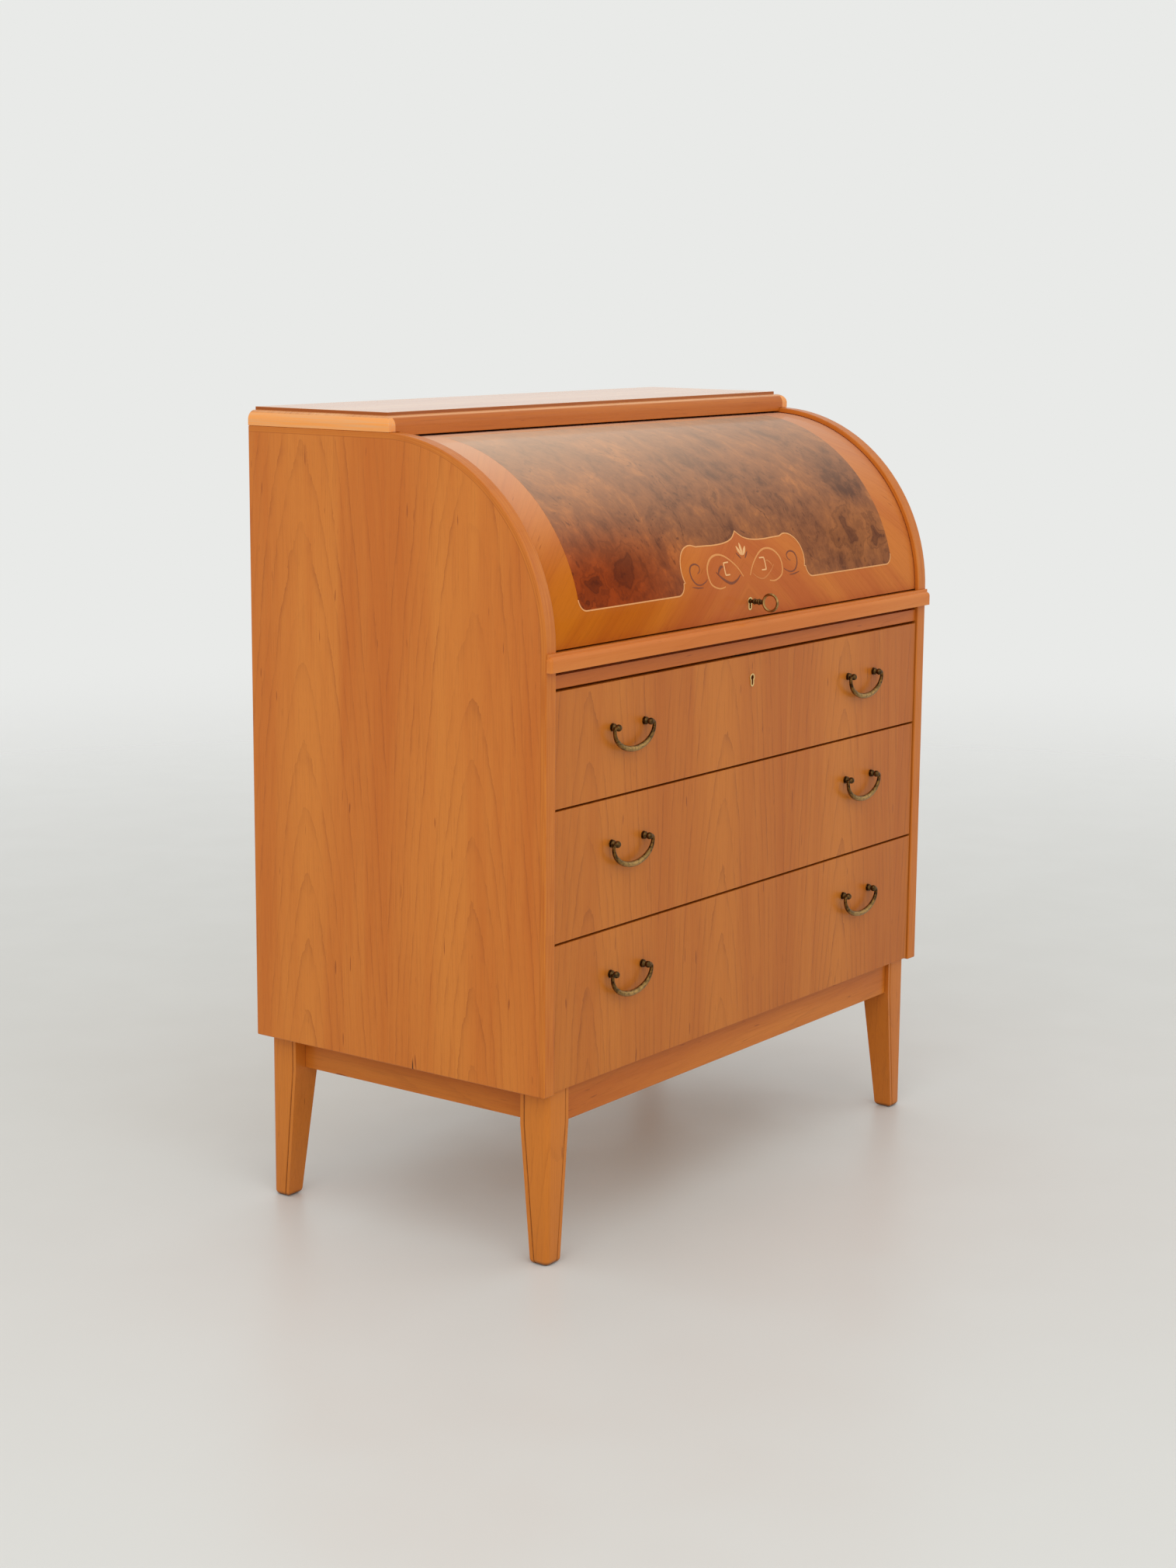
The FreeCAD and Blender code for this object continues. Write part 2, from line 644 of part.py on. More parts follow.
def handle_post(x, z):
    """A turned post with a rosette at its foot, a ball at its head and a stud behind."""
    head_y = f"({DRAWER_FACE} - sizes.head_reach)"
    head = doc.addObject("Part::Sphere", "head")
    head.setExpression("Radius", "sizes.head_radius")
    place(head, x, head_y, z)
    rosette_y = f"({DRAWER_FACE} - sizes.rosette_thickness)"
    rosette = rod("sizes.rosette_radius", "y", "sizes.rosette_thickness", (x, rosette_y, z))
    shank = rod("sizes.neck_radius", "y", "sizes.head_reach + sizes.stud_length", (x, head_y, z))
    hole_radius = "sizes.bail_pin_radius + sizes.bail_pin_clearance"
    hole = rod(hole_radius, "x", "2 * sizes.head_radius", (f"{x} - sizes.head_radius", head_y, z))
    return cut(fuse(head, rosette, shank), hole)


def bail(name, middle, height):
    """A drop handle: a tapered bow, a bend at each end, and pins that turn in the posts."""
    inner = "(sizes.handle_spread / 2 + sizes.head_radius + sizes.bail_gap)"
    half = f"({inner} + sizes.bail_bend)"
    y = f"({DRAWER_FACE} - sizes.head_reach)"
    bow_z = f"({height} - sizes.bail_bend)"
    spine = doc.addObject("Part::Ellipse", "spine")
    bind(spine, MajorRadius=half, MinorRadius="sizes.bail_depth")
    spine.Angle1 = 180
    spine.Angle2 = 360
    spine.Placement = FreeCAD.Placement(FreeCAD.Vector(), FreeCAD.Rotation(FreeCAD.Vector(1, 0, 0), 90))
    place(spine, middle, y, bow_z)
    end = "sizes.bail_end_radius"
    low = f"{bow_z} - sizes.bail_depth"
    sections = [
        bail_section(end, (0, 0, -1), (f"{middle} - {half}", y, bow_z)),
        bail_section("sizes.bail_middle_radius", (1, 0, 0), (middle, y, low)),
        bail_section(end, (0, 0, 1), (f"{middle} + {half}", y, bow_z)),
    ]
    bow = doc.addObject("Part::Sweep", "bow")
    bow.Sections = sections
    bow.Spine = (spine, ["Edge1"])
    bow.Solid = True
    parts = [bow]
    pin_length = "(sizes.bail_gap + sizes.bail_pin_depth)"
    bends = {
        -1: FreeCAD.Rotation(FreeCAD.Vector(0, 1, 1), 180),
        1: FreeCAD.Rotation(FreeCAD.Vector(1, 0, 0), 90),
    }
    for side, turn in bends.items():
        bend = doc.addObject("Part::Torus", "bend")
        bind(bend, Radius1="sizes.bail_bend", Radius2=end)
        bend.Angle3 = 90
        bend.Placement = FreeCAD.Placement(FreeCAD.Vector(), turn)
        parts.append(place(bend, f"{middle} + {side} * {inner}", y, bow_z))
        pin_x = f"{middle} - {inner}" if side < 0 else f"{middle} + {inner} - {pin_length}"
        parts.append(rod("sizes.bail_pin_radius", "x", pin_length, (pin_x, y, height)))
    piece(name, fuse(*parts))


def bail_section(radius, along, at):
    """A round section of the bow, square to the way that the bow runs."""
    circle = doc.addObject("Part::Circle", "section")
    circle.setExpression("Radius", radius)
    forward = FreeCAD.Vector(0, -1, 0)
    run = FreeCAD.Vector(*along)
    turn = FreeCAD.Rotation(forward, run.cross(forward), run, "ZXY")
    circle.Placement = FreeCAD.Placement(FreeCAD.Vector(), turn)
    return place(circle, *at)


def leg(name, side, front):
    """A square leg, tapered on its two inner faces, with a rounded nose on its outer corner."""
    outer = f"({HALF} - sizes.leg_inset_x)"
    x = across(f"({outer} - sizes.leg_size)", outer, side)
    if front:
        face = f"({FRONT} + sizes.leg_inset_y)"
        y = (face, f"({face} + sizes.leg_size)")
    else:
        face = f"({BACK} - sizes.leg_inset_y)"
        y = (f"({face} - sizes.leg_size)", face)
    knee = "(sizes.leg_height - sizes.apron_height)"
    outer_foot = ("(sizes.leg_size - sizes.leg_foot)", "sizes.leg_size")
    inner_foot = ("0", "sizes.leg_foot")
    foot_x = outer_foot if side > 0 else inner_foot
    foot_y = outer_foot if front else inner_foot
    taper = doc.addObject("Part::Wedge", "taper")
    bind(taper, Xmin=foot_x[0], Xmax=foot_x[1], Zmin=foot_y[0], Zmax=foot_y[1])
    bind(taper, X2min="0", X2max="sizes.leg_size", Z2min="0", Z2max="sizes.leg_size")
    bind(taper, Ymin="0", Ymax=knee)
    taper.Placement = FreeCAD.Placement(FreeCAD.Vector(), FreeCAD.Rotation(FreeCAD.Vector(1, 0, 0), 90))
    place(taper, x[0], y[1], "0")
    stock = fuse(taper, block(x, y, (knee, BASE)))
    nose_x = across(f"({outer} - sizes.leg_nose)", outer, side)
    nose_y = (face, f"({face} + sizes.leg_nose)") if front else (f"({face} - sizes.leg_nose)", face)
    centre_x = nose_x[0] if side > 0 else nose_x[1]
    centre_y = nose_y[1] if front else nose_y[0]
    corner = block(nose_x, nose_y, ("0", BASE))
    nose = rod("sizes.leg_nose - sizes.leg_quirk", "z", BASE, (centre_x, centre_y, "0"))
    piece(name, fuse(cut(stock, corner), nose))


def base_frame():
    for name, side in SIDES.items():
        leg(f"front_{name}_leg", side, True)
        leg(f"back_{name}_leg", side, False)
    low = f"({BASE} - sizes.apron_height)"
    tall = (low, BASE)
    between = both(f"({HALF} - sizes.leg_inset_x - sizes.leg_size)")
    front_y = f"({FRONT} + sizes.leg_inset_y + sizes.front_apron_set_back)"
    back_y = f"({BACK} - sizes.leg_inset_y - sizes.front_apron_set_back)"
    front_inner = f"({front_y} + sizes.apron_thickness)"
    back_inner = f"({back_y} - sizes.apron_thickness)"
    piece("front_apron", block(between, (front_y, front_inner), tall))
    piece("back_apron", block(between, (back_inner, back_y), tall))
    side_outer = f"({HALF} - sizes.leg_inset_x - sizes.side_apron_set_back)"
    side_inner = f"({side_outer} - sizes.apron_thickness)"
    leg_in = "(sizes.leg_inset_y + sizes.leg_size)"
    run = (f"({FRONT} + {leg_in})", f"({BACK} - {leg_in})")
    rails = [block(across(side_inner, side_outer, side), run, tall) for side in SIDES.values()]
    piece("side_aprons", group(*rails))
    block_tall = (f"({BASE} - sizes.block_size)", BASE)
    behind_front = (front_inner, f"({front_inner} + sizes.block_size)")
    before_back = (f"({back_inner} - sizes.block_size)", back_inner)
    blocks = []
    for side in SIDES.values():
        x = across(f"({HALF} / 2)", f"({HALF} / 2 + sizes.block_size)", side)
        blocks += [block(x, y, block_tall) for y in (behind_front, before_back)]
    piece("frame_blocks", group(*blocks))


for side_name, side_sign in SIDES.items():
    side_panel(f"{side_name}_side_panel", side_sign)
top_board()
carcass_boards()
drawer_runners()
cord_pegs()
base_frame()
interior()
writing_slide()
curved_lid()
key()
for index, (drawer_low, drawer_top) in enumerate(zip(DRAWER_LOWS, DRAWER_TOPS), start=1):
    large_drawer(index, drawer_low, drawer_top)

doc.recompute()
failed = [thing.Label for thing in doc.Objects if {"Invalid", "Error"} & set(thing.State)]
if failed:
    raise RuntimeError(f"features that failed: {failed}")
for part in pieces:
    if part.Shape.isNull() or not part.Shape.isValid():
        raise RuntimeError(f"{part.Label} has no valid shape")
os.makedirs("parts", exist_ok=True)
for part in pieces:
    part.Shape.exportStep(f"parts/{part.Label}.step")
print(len(pieces), "sub-parts")
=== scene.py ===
import json
import math
from collections import namedtuple

import bmesh
import bpy
from mathutils import Euler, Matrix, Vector


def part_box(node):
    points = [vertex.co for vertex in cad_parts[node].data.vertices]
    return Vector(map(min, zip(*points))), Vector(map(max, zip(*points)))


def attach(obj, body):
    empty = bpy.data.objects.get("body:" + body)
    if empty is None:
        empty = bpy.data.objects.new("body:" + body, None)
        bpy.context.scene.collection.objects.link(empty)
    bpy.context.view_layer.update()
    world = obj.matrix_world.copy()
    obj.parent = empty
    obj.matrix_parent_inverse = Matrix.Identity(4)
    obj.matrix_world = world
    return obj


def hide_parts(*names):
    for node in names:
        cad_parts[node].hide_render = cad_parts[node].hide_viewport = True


bl_info = {
    "name": "Cylinder Secretary Desk",
    "version": (1, 0, 0),
    "blender": (4, 5, 0),
    "location": "View3D > Sidebar > Desk",
    "description": "Finishes a cylinder-front secretary desk: veneers, marquetry, brass and stage",
    "category": "Object",
}

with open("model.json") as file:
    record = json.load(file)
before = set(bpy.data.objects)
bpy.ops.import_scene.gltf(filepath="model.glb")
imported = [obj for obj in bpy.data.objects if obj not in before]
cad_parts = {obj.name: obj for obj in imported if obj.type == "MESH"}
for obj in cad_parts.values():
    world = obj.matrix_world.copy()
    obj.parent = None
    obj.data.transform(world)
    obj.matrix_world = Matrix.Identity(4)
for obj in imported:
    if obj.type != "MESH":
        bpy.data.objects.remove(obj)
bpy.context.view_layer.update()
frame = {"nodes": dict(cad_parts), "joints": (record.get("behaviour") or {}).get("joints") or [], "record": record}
NODES = frame["nodes"]
BODIES = frame["record"]["behaviour"]["bodies"]
BODY_OF = {node: body for body, nodes in BODIES.items() for node in nodes}
JOINTS = {joint["name"]: joint for joint in frame["joints"]}
MM = 0.001

LID_AXIS = Vector(JOINTS["lid_roll"]["pos_m"])
LID_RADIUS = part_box("lid_panel")[1].z - LID_AXIS.z
PANEL_LOW, PANEL_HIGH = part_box("left_side_panel")
PANEL_ARC = PANEL_HIGH.z - LID_AXIS.z
PANEL_REACH = -PANEL_LOW.x
DRAWERS = (1, 2, 3)
SIDES = {"left": -1, "right": 1}
FORWARD, BACKWARD, RIGHTWARD = Vector((0, -1, 0)), Vector((0, 1, 0)), Vector((1, 0, 0))

# Curve between the values of a screen and light
SCREEN_TOP = 255
TOE_END, TOE_SLOPE = 0.04045, 12.92
CURVE_SHIFT, CURVE_POWER = 0.055, 2.4


def tint(red, green, blue):
    """A colour given in screen values from 0 to 255, as light."""
    channels = []
    for value in (red, green, blue):
        share = value / SCREEN_TOP
        curved = ((share + CURVE_SHIFT) / (1 + CURVE_SHIFT)) ** CURVE_POWER
        channels.append(share / TOE_SLOPE if share < TOE_END else curved)
    return (*channels, 1.0)


def colour(name, description, *screen):
    """A property for a colour given in screen values."""
    return bpy.props.FloatVectorProperty(
        name=name, description=description, subtype="COLOR", size=4, min=0, max=1, default=tint(*screen)
    )


def length(name, description, metres):
    """A property for a length."""
    return bpy.props.FloatProperty(
        name=name, description=description, default=metres, precision=4,
        subtype="DISTANCE", unit="LENGTH",
    )


def position(name, description, *metres):
    """A property for a place."""
    return bpy.props.FloatVectorProperty(
        name=name, description=description, default=metres, subtype="XYZ", unit="LENGTH"
    )


def power(name, description, watts):
    """A property for the power of a light."""
    return bpy.props.FloatProperty(name=name, description=description, default=watts, subtype="POWER")


class DeskWoods(bpy.types.PropertyGroup):
    """Tones of the woods, most with a light, a middle and a line tone."""

    case_light: colour("Case light", "Pale streaks of the case veneer", 207, 124, 48)
    case_middle: colour("Case middle", "Body of the case veneer", 192, 103, 34)
    case_line: colour("Case line", "Growth lines of the case veneer", 142, 69, 24)
    border_light: colour("Border light", "Pale streaks of the lid's border", 202, 120, 57)
    border_middle: colour("Border middle", "Body of the lid's border", 183, 97, 50)
    # Drawer veneer, darker than the case partly as painted shade on the fronts
    drawer_light: colour("Drawer light", "Pale streaks of the drawer veneer", 195, 114, 38)
    drawer_middle: colour("Drawer middle", "Body of the drawer veneer", 180, 97, 27)
    drawer_line: colour("Drawer line", "Growth lines of the drawer veneer", 128, 62, 18)
    solid_light: colour("Solid light", "Pale streaks of the solid wood", 203, 119, 40)
    solid_middle: colour("Solid middle", "Body of the solid wood", 182, 95, 24)
    solid_line: colour("Solid line", "Growth lines of the solid wood", 134, 64, 18)
    inner_light: colour("Inner light", "Pale streaks of the inner wood", 220, 170, 112)
    inner_middle: colour("Inner middle", "Body of the inner wood", 200, 144, 86)
    inner_line: colour("Inner line", "Growth lines of the inner wood", 160, 104, 56)
    moulding_light: colour("Moulding light", "Pale streaks of the slide's moulding", 216, 133, 58)
    moulding_middle: colour("Moulding middle", "Body of the slide's moulding", 202, 112, 38)
    # Top board tones, paler than the case partly as a painted sheen
    top_sheen_light: colour("Top light", "Pale streaks of the top board", 228, 164, 106)
    top_sheen_middle: colour("Top middle", "Body of the top board", 215, 144, 84)
    # Painted highlight: the ends of the top are painted paler, as lit from the left
    top_lit_end: colour("Top end", "Sunlit ends of the top board", 240, 156, 78)
    burl_dark: colour("Burl dark", "Shadows and knots of the burl", 86, 50, 37)
    burl_brown: colour("Burl brown", "Body of the burl", 138, 85, 54)
    burl_gold: colour("Burl gold", "Lit figure of the burl", 182, 113, 62)
    stringing: colour("Stringing", "Pale line round the burl", 222, 156, 92)
    pale_inlay: colour("Pale inlay", "Pale scrolls", 214, 142, 72)
    dark_inlay: colour("Dark inlay", "Dark scrolls", 122, 56, 14)
    bone_inlay: colour("Bone inlay", "Palest hooks of the marquetry", 228, 172, 112)
    faint_inlay: colour("Faint inlay", "Faded crescent of the marquetry", 198, 118, 48)
    # Painted sheen on the lid towards its top and left, partly daylight bleaching
    sheen_and_bleach: colour("Bleached", "Where daylight has paled the lid", 249, 218, 188)
    # Painted shade and old polish in the legs' grooves and the top's step, and the dark of a small split
    dirt_and_shade: colour("Dirt", "Old polish in grooves, steps and splits", 74, 38, 16)

    def tones(self, wood):
        """The light, middle and line tone of one of the woods."""
        return tuple(getattr(self, f"{wood}_{depth}") for depth in ("light", "middle", "line"))


class DeskMarquetry(bpy.types.PropertyGroup):
    """Places on the unrolled lid: across from its middle, and up from the height of its axis."""

    burl_half: length("Burl half width", "Middle of the lid to the side of the burl", 0.365)
    burl_low: length("Burl low edge", "Arc up to the lower edge of the burl", 0.042)
    burl_high: length("Burl high edge", "Arc up to the upper edge of the burl", 0.354)
    burl_corner: length("Burl corner", "Radius of the lower corners of the burl", 0.014)
    stringing_width: length("Stringing width", "Width of the pale line", 0.0017)
    ribbon_width: length("Ribbon width", "Width of the pale scrolls", 0.0028)
    scroll_width: length("Scroll width", "Width of the dark scrolls", 0.0024)
    petal_width: length("Petal width", "Width of the flower's petals", 0.0046)
    lift: length("Lift", "How far the veneers stand proud of the lid", 0.00012)


class DeskBrass(bpy.types.PropertyGroup):
    """Sizes of the drop handles and tones of the metals."""

    spread: length("Spread", "Distance between the two posts of a handle", 0.0675)
    head: length("Head radius", "Radius of a post's ball", 0.0044)
    foot: length("Foot radius", "Radius of a post's foot", 0.0050)
    bow_depth: length("Bow depth", "Depth of the bow below its bends", 0.0255)
    bend: length("Bend", "Radius of the bends at the ends of the bow", 0.004)
    end_radius: length("End radius", "Radius of the bow at its ends", 0.0023)
    middle_radius: length("Middle radius", "Radius of the bow at its middle", 0.0038)
    dark: colour("Dark brass", "Brown in the hollows", 40, 26, 15)
    aged: colour("Aged brass", "Body of the aged brass", 118, 82, 38)
    post: colour("Post brass", "Body of the darker posts", 84, 54, 26)
    worn: colour("Worn brass", "Where hands have rubbed it", 198, 158, 94)
    bright: colour("Bright brass", "Keyhole rims", 226, 190, 126)
    steel: colour("Lock steel", "Body of the locks and cord fittings", 150, 146, 138)
    steel_stain: colour("Lock stain", "Stains of the lock steel", 92, 80, 66)
    nail: colour("Nail steel", "Body of the back's nails", 128, 122, 112)
    nail_stain: colour("Nail stain", "Stains of the back's nails", 82, 70, 58)


class DeskStage(bpy.types.PropertyGroup):
    """Where the camera stands, and how the studio is lit."""

    camera_at: position("Camera", "Place of the camera", -2.9651, -2.1369, 1.1955)
    camera_turn: bpy.props.FloatVectorProperty(
        name="Turn", description="Pitch, roll and heading of the camera", subtype="EULER",
        default=(math.radians(79.46), math.radians(0.41), math.radians(-53.6)),
    )
    lens: bpy.props.FloatProperty(
        name="Lens", description="Focal length", default=62.9, subtype="DISTANCE_CAMERA"
    )
    wall: colour("Wall", "Tone of the backdrop", 233, 234, 232)
    floor: colour("Floor", "Paint of the floor", 214, 214, 209)
    floor_clear: length("Floor clear", "How far out the floor keeps its full colour", 0.9)
    floor_end: length("Floor end", "How far out the floor has faded away", 5.0)
    key_at: position("Key place", "Place of the key light", -2.5, -1.8, 3.4)
    key_size: length("Key size", "Width of the key light", 5.2)
    key_power: power("Key power", "Large soft light at the front left", 80)
    fill_at: position("Fill place", "Place of the fill light", 2.6, -3.2, 2.2)
    fill_size: length("Fill size", "Width of the fill light", 2.4)
    fill_power: power("Fill power", "Soft light at the front right", 10)
    sky: bpy.props.FloatProperty(name="Sky", description="Even light of the room", default=0.79, min=0)


# A noise drawn out along the grain
Grain = namedtuple("Grain", "stretch scale detail roughness", defaults=(0.5,))
COAT_ROUGHNESS = 0.12
PUSH_DETAIL = 3.0
MIDDLE_GREY = (0.5, 0.5, 0.5)
# Sockets of a colour mix, which share their names with the other kinds of mix
MIX_SHARE, MIX_FIRST, MIX_SECOND, MIX_RESULT = 0, 6, 7, 2


class Finish:
    """One finish: a material whose nodes are added step by step."""

    def __init__(self, name, roughness=0.4, metallic=0.0, coat=0.0, specular=0.2, coat_ior=1.5):
        self.material = bpy.data.materials.new(name)
        self.material.use_nodes = True
        self.nodes = self.material.node_tree.nodes
        self.links = self.material.node_tree.links
        self.shader = self.nodes["Principled BSDF"]
        self.shader.inputs["Roughness"].default_value = roughness
        self.shader.inputs["Metallic"].default_value = metallic
        self.shader.inputs["Coat Weight"].default_value = coat
        self.shader.inputs["Coat Roughness"].default_value = COAT_ROUGHNESS
        self.shader.inputs["Coat IOR"].default_value = coat_ior
        self.shader.inputs["Specular IOR Level"].default_value = specular

    def feed(self, socket, value):
        if isinstance(value, bpy.types.NodeSocket):
            self.links.new(value, socket)
        else:
            socket.default_value = value

    def add(self, kind, sockets, **settings):
        """A node with its settings and named inputs; gives the node."""
        node = self.nodes.new(kind)
        for setting, value in settings.items():
            setattr(node, setting, value)
        for name, value in sockets.items():
            self.feed(node.inputs[name], value)
        return node

    def math(self, operation, *values):
        node = self.nodes.new("ShaderNodeMath")
        node.operation = operation
        for socket, value in zip(node.inputs, values):
            self.feed(socket, value)
        return node.outputs[0]

    def total(self, *values):
        whole = values[0]
        for value in values[1:]:
            whole = self.math("ADD", whole, value)
        return whole

    def scaled(self, value, factor):
        return self.math("MULTIPLY", value, factor)

    def where(self):
        """The place of a point of the desk."""
        return self.nodes.new("ShaderNodeTexCoord").outputs["Object"]

    def parted(self, place):
        """The three coordinates of a place."""
        return self.add("ShaderNodeSeparateXYZ", {"Vector": place}).outputs

    def spot(self, x, y, z=0.0):
        return self.add("ShaderNodeCombineXYZ", {"X": x, "Y": y, "Z": z}).outputs[0]

    def attribute(self, name):
        """A value that the points of a mesh carry."""
        return self.add("ShaderNodeAttribute", {}, attribute_name=name).outputs["Fac"]

    def noise(self, spot, scale, detail=2.0, roughness=0.5, distortion=0.0):
        sockets = {
            "Vector": spot, "Scale": scale, "Detail": detail,
            "Roughness": roughness, "Distortion": distortion,
        }
        return self.add("ShaderNodeTexNoise", sockets).outputs["Fac"]

    def grained(self, across, along, grain, depth=0.0):
        """Noise drawn out along the grain."""
        spot = self.spot(across, self.scaled(along, grain.stretch), depth)
        return self.noise(spot, grain.scale, grain.detail, grain.roughness)

    def chance(self, number):
        return self.add("ShaderNodeTexWhiteNoise", {"W": number}, noise_dimensions="1D").outputs["Value"]

    def ease(self, value, low, high, start=0.0, end=1.0):
        """A smooth step between two levels."""
        sockets = {"Value": value, "From Min": low, "From Max": high, "To Min": start, "To Max": end}
        return self.add("ShaderNodeMapRange", sockets, interpolation_type="SMOOTHSTEP").outputs[0]

    def pushed(self, spot, scale, reach):
        """A place moved about by cloudy noise."""
        clouds = {"Vector": spot, "Scale": scale, "Detail": PUSH_DETAIL}
        warp = self.add("ShaderNodeTexNoise", clouds).outputs["Color"]
        ways = {0: warp, 1: MIDDLE_GREY}
        push = self.add("ShaderNodeVectorMath", ways, operation="SUBTRACT").outputs[0]
        sockets = {0: push, 1: (reach, reach, reach), 2: spot}
        return self.add("ShaderNodeVectorMath", sockets, operation="MULTIPLY_ADD").outputs[0]

    def hypotenuse(self, first, second):
        return self.math("SQRT", self.total(self.math("POWER", first, 2), self.math("POWER", second, 2)))

    def peaked(self, first, second, power):
        """Like the hypotenuse, but with pointed curves for a power below two."""
        lengths = [self.math("POWER", self.math("ABSOLUTE", side), power) for side in (first, second)]
        return self.math("POWER", self.total(*lengths), 1 / power)

    def oval(self, x, y, centre, reach):
        """None at an oval's centre and one at its rim."""
        across = self.math("DIVIDE", self.math("SUBTRACT", x, centre[0]), reach[0])
        up = self.math("DIVIDE", self.math("SUBTRACT", y, centre[1]), reach[1])
        return self.hypotenuse(across, up)

    def patch(self, x, y, centre, reach, core):
        """One inside an oval's core, fading to none at its rim."""
        return self.ease(self.oval(x, y, centre, reach), core, 1.0, 1.0, 0.0)

    def mix(self, share, first, second, blend="MIX"):
        node = self.nodes.new("ShaderNodeMix")
        node.data_type = "RGBA"
        node.blend_type = blend
        self.feed(node.inputs[MIX_SHARE], share)
        self.feed(node.inputs[MIX_FIRST], first)
        self.feed(node.inputs[MIX_SECOND], second)
        return node.outputs[MIX_RESULT]

    def paint(self, shade):
        self.feed(self.shader.inputs["Base Color"], shade)

    def roughen(self, value):
        self.feed(self.shader.inputs["Roughness"], value)

    def bump(self, height, strength, depth):
        node = self.add("ShaderNodeBump", {"Strength": strength, "Distance": depth, "Height": height})
        self.feed(self.shader.inputs["Normal"], node.outputs["Normal"])


# Growth rings of the timber, from the depth of the heart below the cut and its slope along the leaf
HEART_DEPTH = 0.018
HEART_SPREAD = 0.02
HEART_SLOPE = 0.1
RING_WIDTH = 0.0092
RING_POWER = 6
RING_HOLLOW = -0.3
PEAK_POWER = 1.6
LEAF_WIDTH = 0.27
SWAY, SWAY_REACH, SWAY_APART = Grain(0.35, 11, 2), 0.014, 3.7
JAG, JAG_REACH = Grain(0.5, 70, 3, 0.7), 0.004
# Other marks of the timber, with their shares of the colour and of the relief
BREAKS = Grain(0.4, 38, 2)
FIBRES = Grain(0.016, 620, 4, 0.65)
BANDS, BANDS_APART, BANDS_SHARE, RIM_SHARE = Grain(0.06, 17, 4, 0.6), 2.3, 0.8, 0.4
PORES, PORE_SHARE, PORE_HOLLOW = Grain(0.05, 1300, 1), 0.16, -0.6
FLECKS, FLECK_SHARE = Grain(0.1, 190, 1), 0.75
USUAL_RELIEF, RELIEF_DEPTH = 0.1, 0.0003
# Smooth steps of the timber, as the levels they run between and the values they give
RING_STEP = (0.0, 1.0, 0.15, 1.0)
BREAK_STEP = (0.35, 0.6, 0.25, 1.0)
PORE_STEP = (0.58, 0.75)
FLECK_STEP = (0.735, 0.79)
BODY_STEP = (0.32, 0.68)
FIBRE_STEP = (0.48, 0.8, 0.0, 0.3)
FIBRE_ROUGHNESS = (0.3, 0.8, 0.3, 0.42)
# How strongly the growth lines show
BOLD_LINES = 0.58
SIDE_LINES = 0.52
USUAL_LINES = 0.45
CALM_LINES = 0.4
BOX_LINES = 0.35
SOLID_LINES = 0.3
BORDER_LINES = 0.25
EDGE_LINES = 0.2
SATIN = {"coat": 0.05}


def timber(
    finish, across, along, depth, tones,
    leaf=LEAF_WIDTH, lines=USUAL_LINES, shift=0.0, relief=USUAL_RELIEF,
):
    """Growth rings cut lengthwise into peaks, with bands, fibres, pores and flecks; gives the colour."""
    light, middle, line = tones
    moved = finish.total(across, shift)
    number = finish.math("FLOOR", finish.math("DIVIDE", moved, leaf))
    inside = finish.math("SUBTRACT", moved, finish.scaled(finish.total(number, 0.5), leaf))
    sway = finish.grained(moved, along, SWAY, finish.scaled(number, SWAY_APART))
    jag = finish.grained(moved, along, JAG, number)
    luck = finish.scaled(finish.chance(number), HEART_SPREAD)
    heart = finish.total(HEART_DEPTH, luck, finish.scaled(along, HEART_SLOPE), depth)
    wander = finish.total(finish.scaled(sway, SWAY_REACH), finish.scaled(jag, JAG_REACH))
    rings = finish.total(finish.peaked(inside, heart, PEAK_POWER), wander)
    turns = finish.math("DIVIDE", rings, RING_WIDTH)
    late = finish.math("POWER", finish.math("FRACT", turns), RING_POWER)
    strength = finish.ease(finish.chance(finish.math("FLOOR", turns)), *RING_STEP)
    broken = finish.ease(finish.grained(moved, along, BREAKS), *BREAK_STEP)
    mark = finish.math("MULTIPLY", late, finish.math("MULTIPLY", strength, broken))
    fibre = finish.grained(moved, along, FIBRES, depth)
    band = finish.grained(moved, along, BANDS, finish.scaled(number, BANDS_APART))
    pore = finish.ease(finish.grained(moved, along, PORES, depth), *PORE_STEP)
    fleck = finish.ease(finish.grained(moved, along, FLECKS, depth), *FLECK_STEP)
    rim = finish.math("DIVIDE", finish.math("ABSOLUTE", inside), leaf)
    body = finish.total(finish.scaled(band, BANDS_SHARE), finish.scaled(rim, RIM_SHARE))
    shade = finish.mix(finish.ease(body, *BODY_STEP), light, middle)
    marks = (
        finish.scaled(mark, lines),
        finish.ease(fibre, *FIBRE_STEP),
        finish.scaled(pore, PORE_SHARE),
        finish.scaled(fleck, FLECK_SHARE),
    )
    for share in marks:
        shade = finish.mix(share, shade, line)
    finish.roughen(finish.ease(fibre, *FIBRE_ROUGHNESS))
    height = finish.total(fibre, finish.scaled(pore, PORE_HOLLOW), finish.scaled(mark, RING_HOLLOW))
    finish.bump(height, relief, RELIEF_DEPTH)
    return shade


def board(name, tones, across, along, face=0.0, **look):
    """Wood whose grain runs along one axis of the desk, with its face at a given depth."""
    finish = Finish(name, **SATIN)
    point = finish.parted(finish.where())
    depth = ({"X", "Y", "Z"} - {across, along}).pop()
    below = finish.math("SUBTRACT", point[depth], face)
    finish.paint(timber(finish, point[across], point[along], below, tones, **look))
    return finish.material


SMEAR_SCALE = 160
SMEAR_STEP = (0.2, 0.6, 0.6, 0.95)


def leg_wood(name, tones, dirt_and_shade):
    """Solid wood of the legs, with painted shade and dirt in the grooves and darker towards the foot, where the
    attribute says.
    """
    finish = Finish(name, **SATIN)
    place = finish.where()
    point = finish.parted(place)
    wood = timber(finish, point["X"], point["Z"], point["Y"], tones, lines=SOLID_LINES)
    smear = finish.ease(finish.noise(place, SMEAR_SCALE), *SMEAR_STEP)
    # Painted shade and dirt in the grooves, and darker towards the foot
    share = finish.math("MULTIPLY", finish.attribute("darkened"), smear)
    finish.paint(finish.mix(share, wood, dirt_and_shade))
    return finish.material


